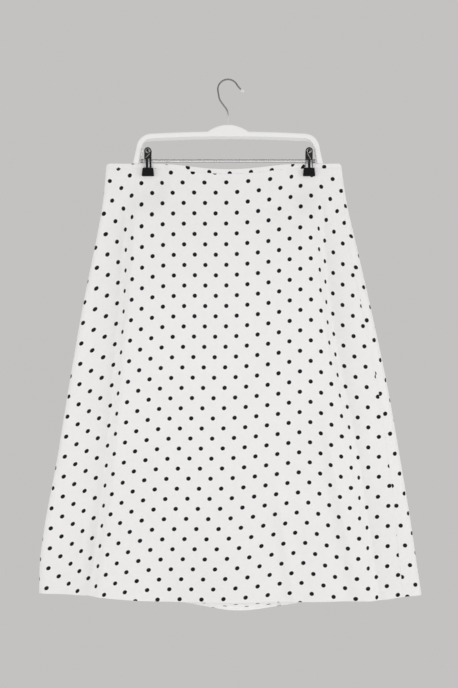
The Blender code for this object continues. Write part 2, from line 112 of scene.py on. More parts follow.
def turn_profile(distance: np.ndarray, radius: float) -> np.ndarray:
    """How far a rounded edge has opened: 0 at the edge and 1 past its radius."""
    left = 1 - np.clip(distance / radius, 0.0, 1.0)
    return np.sqrt(np.clip(1 - left * left, 0.0, 1.0))


# --- the skirt's form -------------------------------------------------------


class Panel(Enum):
    """The two sides of the skirt that are cut as pieces."""

    FRONT = "front"
    BACK = "back"

    @property
    def outward(self) -> float:
        """Direction along Y that points out of the skirt."""
        return -1.0 if self is Panel.FRONT else 1.0


class Side(Enum):
    """The two sides of the skirt and of its hanger, as seen from the front."""

    LEFT = "left"
    RIGHT = "right"


class Level(NamedTuple):
    """The skirt at one level, from the waist edge (fall 0) to the hem (fall 1).

    left, right: the outline; left_turn, right_turn: radius of the turn at each side;
    left_set, right_set: how far each side hangs back; front, back: how far the middle stands
    out; seam: from the outline to the side seam along the cloth.
    """

    fall: float
    left: float
    right: float
    left_turn: float
    right_turn: float
    left_set: float
    right_set: float
    front: float
    back: float
    seam: float


LEVELS = (
    Level(0.00, -226.0, 210.5, 4.0, 4.0, 1.0, 1.0, 6.0, 7.5, 2.0),
    Level(0.09, -233.0, 221.5, 7.0, 8.0, 1.5, 4.0, 9.0, 8.0, 11.0),
    Level(0.16, -243.0, 234.5, 9.0, 12.0, 2.0, 7.0, 13.0, 11.0, 20.0),
    Level(0.32, -268.5, 264.0, 11.0, 15.0, 2.0, 9.0, 17.0, 14.0, 26.0),
    Level(0.50, -293.5, 294.5, 12.0, 14.0, 2.0, 7.0, 17.0, 14.0, 27.0),
    Level(0.70, -319.5, 322.5, 12.0, 12.0, 2.0, 4.0, 15.0, 13.0, 30.0),
    Level(0.85, -341.5, 342.0, 12.0, 12.0, 2.0, 3.0, 14.0, 13.0, 36.5),
    Level(0.93, -349.5, 351.0, 12.0, 12.0, 2.0, 2.0, 14.0, 13.0, 39.0),
    Level(1.00, -351.0, 359.5, 12.0, 12.0, 2.0, 2.0, 14.0, 13.0, 41.0),
)


class Step(NamedTuple):
    """Where the middle falls back to a side, across the skirt at STEP_FALLS, and how wide."""

    panel: Panel
    side: Side
    waist: float
    upper: float
    lower: float
    hem: float
    width: float


STEPS = (
    Step(Panel.FRONT, Side.LEFT, -175.0, -193.5, -219.0, -247.0, 22.0),
    Step(Panel.FRONT, Side.RIGHT, 160.0, 183.0, 235.0, 272.0, 24.0),
    Step(Panel.BACK, Side.LEFT, -178.0, -200.0, -232.0, -262.0, 34.0),
    Step(Panel.BACK, Side.RIGHT, 172.0, 190.0, 222.0, 246.0, 30.0),
)
STEP_FALLS = (0.0, 0.35, 0.7, 1.0)


class Wave(NamedTuple):
    """A long soft wave that runs down to the hem."""

    panel: Panel
    start: float
    end: float
    start_fall: float
    width: float
    depth: float


WAVES = (
    Wave(Panel.FRONT, -70.0, -92.0, 0.55, 34.0, -4.0),
    Wave(Panel.FRONT, 72.0, 104.0, 0.50, 36.0, -5.0),
    Wave(Panel.FRONT, 165.0, 216.0, 0.40, 26.0, -4.5),
    Wave(Panel.FRONT, 10.0, 8.0, 0.60, 46.0, 3.0),
    Wave(Panel.BACK, -118.0, -150.0, 0.35, 34.0, -5.0),
    Wave(Panel.BACK, -20.0, -34.0, 0.45, 48.0, 5.0),
    Wave(Panel.BACK, 92.0, 132.0, 0.40, 38.0, -5.5),
)


class Crease(NamedTuple):
    """A small soft ridge, or a trough where its depth is negative, between two points."""

    panel: Panel
    x: float
    z: float
    end_x: float
    end_z: float
    width: float
    depth: float


CREASES = (
    Crease(Panel.FRONT, -158.0, -186.0, -206.0, -300.0, 11.0, -1.6),
    Crease(Panel.FRONT, -136.0, -190.0, -120.0, -330.0, 13.0, 1.3),
    Crease(Panel.FRONT, -128.0, -182.0, -70.0, -262.0, 12.0, -1.1),
    Crease(Panel.FRONT, 132.0, -184.0, 66.0, -270.0, 13.0, -1.2),
    Crease(Panel.FRONT, 142.0, -190.0, 136.0, -340.0, 12.0, 1.5),
    Crease(Panel.FRONT, 163.0, -186.0, 205.0, -300.0, 10.0, 1.4),
    Crease(Panel.FRONT, -176.0, -420.0, -150.0, -640.0, 17.0, 1.5),
    Crease(Panel.FRONT, -104.0, -520.0, -118.0, -760.0, 22.0, -1.6),
    Crease(Panel.FRONT, 168.0, -560.0, 248.0, -1010.0, 12.0, 5.4),
    Crease(Panel.FRONT, 82.0, -690.0, 130.0, -1030.0, 12.0, 5.4),
    Crease(Panel.FRONT, -244.0, -720.0, -292.0, -1030.0, 12.0, 4.8),
    Crease(Panel.FRONT, -84.0, -700.0, -98.0, -1030.0, 13.0, 3.2),
    Crease(Panel.FRONT, 22.0, -330.0, 34.0, -560.0, 26.0, 1.1),
    Crease(Panel.FRONT, -38.0, -600.0, -52.0, -860.0, 24.0, -1.3),
    Crease(Panel.FRONT, 250.0, -560.0, 268.0, -800.0, 14.0, 1.8),
    Crease(Panel.FRONT, -236.0, -640.0, -262.0, -860.0, 14.0, -1.7),
    Crease(Panel.FRONT, 236.0, -320.0, 250.0, -470.0, 10.0, -1.5),
    Crease(Panel.BACK, -160.0, -188.0, -196.0, -310.0, 13.0, 1.6),
    Crease(Panel.BACK, -134.0, -188.0, -92.0, -290.0, 12.0, -1.3),
    Crease(Panel.BACK, 138.0, -186.0, 98.0, -282.0, 13.0, -1.4),
    Crease(Panel.BACK, 160.0, -190.0, 186.0, -330.0, 12.0, 1.5),
    Crease(Panel.BACK, 40.0, -300.0, 56.0, -520.0, 24.0, -1.3),
    Crease(Panel.BACK, -60.0, -380.0, -74.0, -640.0, 26.0, 1.4),
    Crease(Panel.BACK, 150.0, -480.0, 176.0, -720.0, 18.0, 1.9),
    Crease(Panel.BACK, -196.0, -520.0, -214.0, -780.0, 18.0, -1.8),
    Crease(Panel.BACK, 10.0, -640.0, 4.0, -880.0, 28.0, -1.6),
    Crease(Panel.BACK, 268.0, -600.0, 292.0, -860.0, 14.0, 1.6),
    Crease(Panel.BACK, -286.0, -660.0, -302.0, -880.0, 14.0, 1.5),
)


class Swing(NamedTuple):
    """A sine over a panel.

    x, z: length along each axis in which its angle grows by one; phase: its angle at the
    origin; own: how much of the panel's own phase it takes.
    """

    x: float
    z: float
    phase: float
    own: float

    def over(self, x: np.ndarray, z: np.ndarray, own_phase: float) -> np.ndarray:
        """The sine at points of a panel."""
        return np.sin(x / self.x + z / self.z + self.phase + self.own * own_phase)


class Ripple(NamedTuple):
    """Slight unevenness of the cloth: its height, and the two sines that shape it together."""

    height: float
    first: Swing
    second: Swing


RIPPLE_LEAN = 0.09  # how far the two longer ripples lean across on their way down
RIPPLES = (
    Ripple(0.55, Swing(13.7, 13.7 / RIPPLE_LEAN, 0.0, 1.0), Swing(math.inf, 96.0, 0.6, 1.0)),
    Ripple(0.45, Swing(21.3, 21.3 / RIPPLE_LEAN, 1.9, -1.0), Swing(math.inf, 143.0, 1.2, 0.0)),
    Ripple(0.30, Swing(8.9, -61.0, 0.0, 1.0), Swing(90.0, 57.0, 0.0, 0.0)),
)


class HemPoint(NamedTuple):
    """Drop of the hem below the hook's seat, across from the left outline to the right."""

    across: float
    front: float
    back: float


HEM = (
    HemPoint(0.00, 953.0, 953.0),
    HemPoint(0.06, 954.0, 954.0),
    HemPoint(0.15, 958.0, 955.5),
    HemPoint(0.22, 962.5, 958.0),
    HemPoint(0.36, 966.5, 972.5),
    HemPoint(0.52, 968.0, 990.0),
    HemPoint(0.66, 967.0, 977.0),
    HemPoint(0.82, 965.5, 960.0),
    HemPoint(0.91, 964.0, 957.5),
    HemPoint(0.96, 958.5, 957.0),
    HemPoint(1.00, 956.5, 956.5),
)


class Strip(NamedTuple):
    """Points across a piece at one level, and how far along the cloth each lies from the grain."""

    points: np.ndarray
    along: np.ndarray


@dataclass(frozen=True)
class SkirtForm:
    """The shape in which the skirt hangs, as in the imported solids, with its small creases.

    waist_drop: from the hook's seat to the waist edge; front_sag, back_sag: how far that edge
    sags between the clips; corner_radius: of its two ends; left_clip, right_clip: middles of
    the clips; grip_half_width, grip_depth: of the cloth that a clip presses; grip_aside,
    grip_below: way over which the press wears off; grip_offset: from the hook's plane to
    pressed cloth; fine_steps, turn_steps: points along a half section and round its turns;
    crease_rise, crease_fade: shares of a crease over which it comes and goes; relief_margin:
    way over which small relief fades at the outline; back_phase: the back's own phase of the
    ripples; ripple_start, ripple_reach: where below the waist they begin, and how far below
    that they are full; grain_heights, front_grain, back_grain: where each grain line hangs.
    """

    waist_drop: float = 156.0
    front_sag: float = 11.0
    back_sag: float = 13.0
    corner_radius: float = 6.0
    left_clip: float = -148.8
    right_clip: float = 150.7
    grip_half_width: float = 15.0
    grip_depth: float = 28.0
    grip_aside: float = 34.0
    grip_below: float = 70.0
    grip_offset: float = 0.8
    fine_steps: int = 500
    turn_steps: int = 100
    crease_rise: float = 0.35
    crease_fade: float = 0.4
    relief_margin: float = 30.0
    back_phase: float = 2.1
    ripple_start: float = 12.0
    ripple_reach: float = 120.0
    grain_heights: tuple[float, ...] = (-970.0, -690.0, -495.0, -190.0)
    front_grain: tuple[float, ...] = (-27.9, -12.1, -4.7, -5.2)
    back_grain: tuple[float, ...] = (2.0, 2.0, 2.0, 2.0)

    @property
    def length(self) -> float:
        """Usual height of the skirt from its waist edge to its hem."""
        return float(np.mean(column(HEM, "front"))) - self.waist_drop

    def level_at(self, fall: float) -> Level:
        """The skirt's sizes at any level.

        Args:
            fall: The level, which may lie a little past the waist edge or the hem.

        Returns:
            The sizes, smooth between the table's rows.
        """
        columns = (column(LEVELS, name) for name in Level._fields[1:])
        sizes = (smooth_through(column(LEVELS, "fall"), sizes, fall) for sizes in columns)
        return Level(fall, *(float(size) for size in sizes))

    def waist_edge(self, panel: Panel, x: np.ndarray, level: Level) -> np.ndarray:
        """Drop of the waist edge at x.

        Args:
            panel: The front or the back.
            x: Places across the waist.
            level: The skirt's sizes at the waist.

        Returns:
            The drop below the hook's seat at each place.
        """
        reach = (self.right_clip - self.left_clip) / 2
        middle = (self.right_clip + self.left_clip) / 2
        share = np.clip((x - middle) / reach, -1.0, 1.0)
        deepest = self.front_sag if panel is Panel.FRONT else self.back_sag
        sag = deepest * (1 + np.cos(math.pi * share)) / 2
        edge = np.minimum(x - level.left, level.right - x)
        corner = self.corner_radius * (1 - turn_profile(edge, self.corner_radius))
        return self.waist_drop + sag + corner

    def heights(self, panel: Panel, x: np.ndarray, level: Level) -> np.ndarray:
        """Height of the cloth at x on a level of the skirt.

        Args:
            panel: The front or the back.
            x: Places across the skirt.
            level: The level's sizes.

        Returns:
            The height at each place.
        """
        across = (x - level.left) / (level.right - level.left)
        waist = self.level_at(0.0)
        top = self.waist_edge(panel, waist.left + across * (waist.right - waist.left), waist)
        bottom = smooth_through(column(HEM, "across"), column(HEM, panel.value), across)
        return -(top + (bottom - top) * level.fall)

    def inside_step(self, panel: Panel, side: Side, x: np.ndarray, fall: float) -> np.ndarray:
        """0 on the outer side of a step and 1 on its inner side.

        Args:
            panel: The front or the back.
            side: The side to which the middle falls back.
            x: Places across the skirt.
            fall: The level.

        Returns:
            The share at each place, smooth between.
        """
        step = next(row for row in STEPS if (row.panel, row.side) == (panel, side))
        place = smooth_through(STEP_FALLS, (step.waist, step.upper, step.lower, step.hem), fall)
        share = soft_step((x - place) / step.width + 0.5)
        return share if side is Side.LEFT else 1 - share

    def wave_offset(self, panel: Panel, x: np.ndarray, fall: float) -> np.ndarray:
        """How far the long waves stand out at x.

        Args:
            panel: The front or the back.
            x: Places across the skirt.
            fall: The level.

        Returns:
            The offset at each place.
        """
        total = np.zeros_like(x)
        for wave in WAVES:
            if wave.panel is panel and fall > wave.start_fall:
                share = (fall - wave.start_fall) / (1 - wave.start_fall)
                place = wave.start + (wave.end - wave.start) * share
                bell = np.exp(-(((x - place) / wave.width) ** 2))
                total += wave.depth * soft_step(share) * bell
        return total

    def crease_offset(self, panel: Panel, x: np.ndarray, z: np.ndarray) -> np.ndarray:
        """How far the small creases stand out at points of a panel, fading at their ends.

        Args:
            panel: The front or the back.
            x: Places across the skirt.
            z: Heights of those places.

        Returns:
            The offset at each place.
        """
        total = np.zeros_like(x)
        for crease in CREASES:
            if crease.panel is not panel:
                continue
            run_x, run_z = crease.end_x - crease.x, crease.end_z - crease.z
            length = math.hypot(run_x, run_z)
            share = ((x - crease.x) * run_x + (z - crease.z) * run_z) / length**2
            aside = ((x - crease.x) * run_z - (z - crease.z) * run_x) / length
            fade = soft_step(share / self.crease_rise) * soft_step((1 - share) / self.crease_fade)
            total += crease.depth * fade * np.exp(-((aside / crease.width) ** 2))
        return total

    def hang_offset(self, panel: Panel, x: np.ndarray, z: np.ndarray) -> np.ndarray:
        """Slight unevenness of the hanging cloth, mostly across the skirt.

        Args:
            panel: The front or the back.
            x: Places across the skirt.
            z: Heights of those places.

        Returns:
            The offset at each place.
        """
        own = 0.0 if panel is Panel.FRONT else self.back_phase
        total = np.zeros_like(x)
        for ripple in RIPPLES:
            total += ripple.height * ripple.first.over(x, z, own) * ripple.second.over(x, z, own)
        return total * soft_step((-z - self.waist_drop - self.ripple_start) / self.ripple_reach)

    def grip_share(self, x: np.ndarray, z: np.ndarray) -> np.ndarray:
        """0 where a clip presses the cloth and 1 where it hangs free.

        Args:
            x: Places across the skirt.
            z: Heights of those places.

        Returns:
            The share at each place, smooth between.
        """
        share = np.ones_like(x)
        bottom = -self.waist_drop - self.grip_depth
        for place in (self.left_clip, self.right_clip):
            aside = np.maximum(np.abs(x - place) - self.grip_half_width, 0.0) / self.grip_aside
            below = np.maximum(bottom - z, 0.0) / self.grip_below
            share *= soft_step(np.hypot(aside, below))
        return share

    def half_section(self, panel: Panel, level: Level) -> np.ndarray:
        """Points of the front or back half of a section, from the left outline to the right.

        Args:
            panel: The front or the back.
            level: The level's sizes.

        Returns:
            A row of x, y and z for each point.
        """
        angle = np.linspace(0.0, math.pi / 2, self.turn_steps)
        left = level.left + level.left_turn * (1 - np.cos(angle))
        right = level.right - level.right_turn * (1 - np.cos(angle[::-1]))
        middle = np.linspace(left[-1], right[0], self.fine_steps)[1:-1]
        x = np.concatenate([left, middle, right])
        in_left = self.inside_step(panel, Side.LEFT, x, level.fall)
        in_right = self.inside_step(panel, Side.RIGHT, x, level.fall)
        across = (x - level.left) / (level.right - level.left)
        turn = level.left_turn + (level.right_turn - level.left_turn) * soft_step(across)
        opened = turn_profile(x - level.left, level.left_turn)
        opened = opened * turn_profile(level.right - x, level.right_turn)
        behind = level.left_set * (1 - in_left) + level.right_set * (1 - in_right)
        middle_out = level.front if panel is Panel.FRONT else level.back
        z = self.heights(panel, x, level)
        out = turn * opened + middle_out * in_left * in_right
        out = out + self.wave_offset(panel, x, level.fall) * in_left * in_right
        edge = np.minimum(x - level.left, level.right - x)
        small = self.crease_offset(panel, x, z) + self.hang_offset(panel, x, z)
        out = out + small * soft_step(edge / self.relief_margin)
        outward = panel.outward
        pressed = outward * self.grip_offset * opened
        y = pressed + (behind + outward * out - pressed) * self.grip_share(x, z)
        return np.stack([x, y, z], axis=1)

    def grain_place(self, panel: Panel, z: float) -> float:
        """Where the grain line of a piece hangs at height z."""
        places = self.front_grain if panel is Panel.FRONT else self.back_grain
        return float(smooth_through(self.grain_heights, places, z))

    def strip(self, panel: Panel, fall: float, gaps: Sequence[float], cells: int) -> Strip:
        """Points across one piece at one level.

        Args:
            panel: The piece.
            fall: The level, which may lie a little past the hem.
            gaps: Distances of the closely set points from each side edge, rising from 0.
            cells: Number of even cells between those.

        Returns:
            The points and their distance along the cloth from the grain line.
        """
        level = self.level_at(fall)
        front = self.half_section(Panel.FRONT, level)
        back = self.half_section(Panel.BACK, level)[::-1]
        ring = np.concatenate([front, back[1:]])
        steps = np.hypot(np.diff(ring[:, 0]), np.diff(ring[:, 1]))
        lengths = np.concatenate([[0.0], np.cumsum(steps)])
        girth, half = lengths[-1], lengths[len(front) - 1]
        right_seam = half - level.seam
        left_seam = right_seam - girth / 2
        place = self.grain_place(panel, -self.waist_drop - fall * self.length)
        if panel is Panel.FRONT:
            start, end = left_seam, right_seam
            grain = np.interp(place, front[:, 0], lengths[: len(front)])
        else:
            start, end = right_seam, left_seam + girth
            grain = np.interp(place, back[::-1, 0], lengths[len(front) - 1 :][::-1])
        edge = np.asarray(gaps, float)
        inner = np.linspace(start + edge[-1], end - edge[-1], cells + 1)
        along = np.concatenate([start + edge[:-1], inner, (end - edge[:-1])[::-1]])
        # Three rounds of the ring, so that a piece may reach past its start and its end.
        rounds_along = np.concatenate([lengths - girth, lengths[1:], lengths[1:] + girth])
        rounds = np.concatenate([ring, ring[1:], ring[1:]])
        points = [np.interp(along, rounds_along, rounds[:, axis]) for axis in range(3)]
        return Strip(np.stack(points, axis=1), along - grain)


# --- shader nodes -----------------------------------------------------------

# Sockets of a Mix node that carries colours.
MIX_SHARE, MIX_FIRST, MIX_SECOND, MIX_RESULT = 0, 6, 7, 2


class Wire:
    """A shader socket that takes part in arithmetic, each step of which adds a Math node."""

    def __init__(self, shader: Shader, socket: bpy.types.NodeSocket) -> None:
        """Keep the socket and the shader that it belongs to."""
        self.shader = shader
        self.socket = socket

    def math(self, operation: str, *values: Wire | float, clamp: bool = False) -> Wire:
        """The result of a Math node on the given values.

        Args:
            operation: The node's operation.
            values: What goes into its sockets, in order.
            clamp: Whether the result is kept between 0 and 1.

        Returns:
            The node's output.
        """
        settings = {"operation": operation, "use_clamp": clamp}
        return self.shader.add("ShaderNodeMath", settings, dict(enumerate(values)))

    def __add__(self, other: Wire | float) -> Wire:
        """Sum."""
        return self.math("ADD", self, other)

    def __radd__(self, other: float) -> Wire:
        """Sum with a number on the left."""
        return self.math("ADD", other, self)

    def __sub__(self, other: Wire | float) -> Wire:
        """Difference."""
        return self.math("SUBTRACT", self, other)

    def __rsub__(self, other: float) -> Wire:
        """Difference from a number."""
        return self.math("SUBTRACT", other, self)

    def __mul__(self, other: Wire | float) -> Wire:
        """Product."""
        return self.math("MULTIPLY", self, other)

    def __rmul__(self, other: float) -> Wire:
        """Product with a number on the left."""
        return self.math("MULTIPLY", other, self)

    def __truediv__(self, other: Wire | float) -> Wire:
        """Quotient."""
        return self.math("DIVIDE", self, other)

    def rounded(self) -> Wire:
        """The nearest whole number."""
        return self.math("ROUND", self)

    def sine(self) -> Wire:
        """The sine."""
        return self.math("SINE", self)

    def root(self) -> Wire:
        """The square root."""
        return self.math("SQRT", self)

    def ramp(self, low: float, high: float) -> Wire:
        """0 at low, 1 at high and straight between; low may be the larger."""
        return self.math("MULTIPLY_ADD", self, 1 / (high - low), -low / (high - low), clamp=True)


class Shader:
    """A material whose nodes all come from one method."""

    def __init__(self, name: str) -> None:
        """Start a material with its Principled shader.

        Args:
            name: The material's name.
        """
        self.material = bpy.data.materials.new(name)
        self.material.use_nodes = True
        self.tree = self.material.node_tree
        self.surface = self.tree.nodes["Principled BSDF"]

    def add(
        self,
        kind: str,
        settings: dict[str, object] | None = None,
        inputs: dict[int | str, object] | None = None,
        output: int | str = 0,
    ) -> Wire:
        """Add a node.

        Args:
            kind: The node's type.
            settings: Its properties, set before its sockets.
            inputs: A value or a wire for each socket, by number or name.
            output: The output that is wanted.

        Returns:
            That output.
        """
        node = self.tree.nodes.new(kind)
        for name, value in (settings or {}).items():
            setattr(node, name, value)
        for key, value in (inputs or {}).items():
            self.put(node, key, value)
        return Wire(self, node.outputs[output])

    def put(self, node: bpy.types.Node, key: int | str, value: object) -> None:
        """Link a wire to one of a node's sockets, or set its value.

        Args:
            node: The node.
            key: The socket's number or name.
            value: A wire or a value.
        """
        socket = node.inputs[key]
        if isinstance(value, Wire):
            self.tree.links.new(value.socket, socket)
        else:
            socket.default_value = value

    def principled(self, **values: object) -> None:
        """Set sockets of the Principled shader, named with underscores for spaces."""
        for name, value in values.items():
            self.put(self.surface, name.replace("_", " "), value)

    def uv(self, name: str) -> tuple[Wire, Wire]:
        """The two coordinates of a UV map.

        Args:
            name: The map's name.

        Returns:
            Wires of its first and its second coordinate.
        """
        vector = self.add("ShaderNodeUVMap", {"uv_map": name})
        parts = self.add("ShaderNodeSeparateXYZ", {}, {0: vector})
        node = parts.socket.node
        return Wire(self, node.outputs[0]), Wire(self, node.outputs[1])

    def blend(self, share: Wire, first: object, second: object) -> Wire:
        """Mix two colours: the first where share is 0 and the second where it is 1."""
        inputs = {MIX_SHARE: share, MIX_FIRST: first, MIX_SECOND: second}
        return self.add("ShaderNodeMix", {"data_type": "RGBA"}, inputs, output=MIX_RESULT)

    def object_place(self) -> Wire:
        """Object coordinates."""
        return self.add("ShaderNodeTexCoord", output="Object")

    def noise(self, scale: float, detail: float = 2.0) -> Wire:
        """Noise on Object coordinates."""
        inputs = {"Vector": self.object_place(), "Scale": scale, "Detail": detail}
        return self.add("ShaderNodeTexNoise", {}, inputs)

    def bump(self, height: Wire, distance: float, strength: float = 1.0) -> None:
        """Roughen the surface by a height, as a share of a distance in metres."""
        inputs = {"Height": height, "Distance": distance, "Strength": strength}
        self.principled(Normal=self.add("ShaderNodeBump", {}, inputs))


# --- finishes ---------------------------------------------------------------


class Axis(Enum):
    """The axes, by their place in a vector."""

    X = 0
    Y = 1
    Z = 2


def grey(value: float) -> Colour:
    """A neutral colour."""
    return (value, value, value, 1.0)


def dimmed(colour: Colour, share: float) -> Colour:
    """A colour of which only a share is left."""
    return (*(share * part for part in colour[:3]), 1.0)


@dataclass(frozen=True)
class DottedCloth:
    """White cloth with a printed half-drop of small black dots.

    across_m, down_m: half the repeat; radius_m, edge_m: a dot's radius and half the width of
    its soft edge; weight: how fully the dots are printed; faint: share of the print that shows
    on turned-up cloth; dimmest, dim_scale, dim_range: what is left of the white where it is
    dimmest, and the noise that dims it; turning_m, turning_edge_m: height of the turned-up hem
    and half the width of its soft line; double_white, double_share: the white of doubled cloth
    and how fully it shows; past_fold_m: from where the cloth counts as turned up;
    glow, inner_glow: strength of a painted glow, an emission that stands in for
    light coming through the cloth, white on the turned-up hem and never on the dots, and its
    grey on the rest of the faces inside the skirt; faces_in: whether the face lies inside the
    skirt, where that painted glow also covers the cloth above the hem; thread_rate,
    thread_share: angle of the weave's sines for each metre and their share of the relief;
    crumple_scale, relief_m, relief_strength: the fine crumple and the height of it all.
    """

    name: str
    across_m: float = 0.0197
    down_m: float = 0.0190
    radius_m: float = 0.0040
    edge_m: float = 0.00035
    white: Colour = (0.850, 0.845, 0.841, 1.0)
    double_white: Colour = (0.870, 0.866, 0.862, 1.0)
    ink: Colour = (0.006, 0.006, 0.006, 1.0)
    weight: float = 1.0
    faint: float = 0.15
    dimmest: float = 0.985
    dim_scale: float = 9.0
    dim_range: tuple[float, float] = (0.3, 0.7)
    turning_m: float = 0.0045
    turning_edge_m: float = 0.0004
    double_share: float = 0.3
    past_fold_m: tuple[float, float] = (-0.0016, -0.0006)
    # Painted light: an emission that brightens the turned-up hem and the faces inside the skirt, in
    # place of light that comes through the cloth.
    glow: float = 0.17
    inner_glow: float = 0.85
    faces_in: bool = False
    translucency: float = 0.3
    thread_rate: float = 9000.0
    thread_share: float = 0.12
    crumple_scale: float = 150.0
    relief_m: float = 0.00022
    relief_strength: float = 0.55

    def dots(self, across: Wire, down: Wire) -> Wire:
        """Mask of the dots on the flat pattern, 1 inside a dot.

        Args:
            across: Place across the pattern in metres.
            down: Place along the pattern in metres.

        Returns:
            The mask, soft at the edge of a dot.
        """
        aside = across / self.across_m
        below = down / self.down_m
        first = (aside + below) * 0.5
        second = (aside - below) * 0.5
        first = first - first.rounded()
        second = second - second.rounded()
        aside = (first + second) * self.across_m
        below = (first - second) * self.down_m
        distance = (aside * aside + below * below).root()
        return distance.ramp(self.radius_m + self.edge_m, self.radius_m - self.edge_m)

    def build(self) -> bpy.types.Material:
        """Make the material.

        Returns:
            The material.
        """
        shader = Shader(self.name)
        across, down = shader.uv("pattern")
        _, above_hem = shader.uv("edges")
        hanging = above_hem.ramp(*self.past_fold_m)
        printed = self.dots(across, down) * self.weight
        printed = printed * (hanging * (1 - self.faint) + self.faint)
        dim = shader.noise(self.dim_scale).ramp(*self.dim_range)
        white = shader.blend(dim, self.white, dimmed(self.white, self.dimmest))
        line, soft = self.turning_m, self.turning_edge_m
        double = above_hem.ramp(line + soft, line - soft) * self.double_share
        white = shader.blend(double, white, self.double_white)
        # Painted light: the glow's colour, white on the turned-up hem and, on faces inside the
        # skirt, grey above it; the dots stay dark.
        inside = grey(self.inner_glow if self.faces_in else 0.0)
        painted_inner_light = shader.blend(hanging, self.white, inside)
        shader.principled(
            Base_Color=shader.blend(printed, white, self.ink),
            Roughness=0.62,
            Specular_IOR_Level=0.16,
            Sheen_Weight=0.04,
            Sheen_Roughness=0.4,
            Subsurface_Weight=self.translucency,
            Subsurface_Radius=(1.0, 1.0, 1.0),
            Subsurface_Scale=0.0012,
            Emission_Color=shader.blend(printed, painted_inner_light, grey(0.0)),
            Emission_Strength=self.glow,
        )
        thread = (across * self.thread_rate).sine() * (down * self.thread_rate).sine()
        crumple = shader.noise(self.crumple_scale, detail=3.0)
        height = thread * self.thread_share + crumple
        shader.bump(height, self.relief_m, self.relief_strength)
        return shader.material


@dataclass(frozen=True)
class Plain:
    """A finish that is the same all over, with slight wear in its gloss.

    spread, grain: how far the roughness strays to each side, and the scale of that noise.
    """

    name: str
    colour: Colour
    roughness: float
    metallic: float = 0.0
    coat: float = 0.0
    transmission: float = 0.0
    specular: float = 0.5
    alpha: float = 1.0
    spread: float = 0.06
    grain: float = 60.0

    def base_colour(self, shader: Shader) -> object:
        """The colour, or a wire that carries it."""
        return self.colour

    def build(self) -> bpy.types.Material:
        """Make the material.

        Returns:
            The material.
        """
        shader = Shader(self.name)
        uneven = shader.noise(self.grain)
        shader.principled(
            Base_Color=self.base_colour(shader),
            Roughness=uneven * (2 * self.spread) + (self.roughness - self.spread),
            Metallic=self.metallic,
            Coat_Weight=self.coat,
            Transmission_Weight=self.transmission,
            Specular_IOR_Level=self.specular,
            Alpha=self.alpha,
        )
        return shader.material


class Stop(NamedTuple):
    """A grey at a place along an axis."""

    place: float
    value: float


@dataclass(frozen=True)
class PaintedLightBands(Plain):
    """A finish whose grey changes along one axis: painted reflection where a piece mirrors its
    surroundings, or painted shade where a recess lies in shadow.

    from_middle: whether both ways from 0 look alike; stops: the greys in order.
    """

    axis: Axis = Axis.Z
    from_middle: bool = False
    stops: tuple[Stop, ...] = ()

    def base_colour(self, shader: Shader) -> object:
        """The grey at each place along the axis.

        Args:
            shader: The finish's shader.

        Returns:
            A wire that carries the grey.
        """
        parts = {0: shader.object_place()}
        place = shader.add("ShaderNodeSeparateXYZ", {}, parts, output=self.axis.value)
        if self.from_middle:
            place = place.math("ABSOLUTE", place)
        colour: object = grey(self.stops[0].value)
        for before, after in zip(self.stops, self.stops[1:]):
            share = place.ramp(before.place * MM, after.place * MM)
            colour = shader.blend(share, colour, grey(after.value))
        return colour


# --- pieces -----------------------------------------------------------------


def linked(name: str, shape: bmesh.types.BMesh, *materials: bpy.types.Material) -> bpy.types.Object:
    """Turn a finished shape into an object of the scene.

    Args:
        name: The object's name.
        shape: The shape, which is freed.
        materials: Its finishes, in the order of its faces' numbers.

    Returns:
        The object.
    """
    mesh = bpy.data.meshes.new(name)
    shape.to_mesh(mesh)
    shape.free()
    for material in materials:
        mesh.materials.append(material)
    made = bpy.data.objects.new(name, mesh)
    bpy.context.collection.objects.link(made)
    return made


def fix_to_body(piece: bpy.types.Object) -> None:
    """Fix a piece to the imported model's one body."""
    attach(piece, "root")


# --- sheets of cloth --------------------------------------------------------


class PathPoint(NamedTuple):
    """A row of a sheet: its fall, its offset out of the form, and its place down the cut cloth."""

    fall: float
    offset: float
    down: float


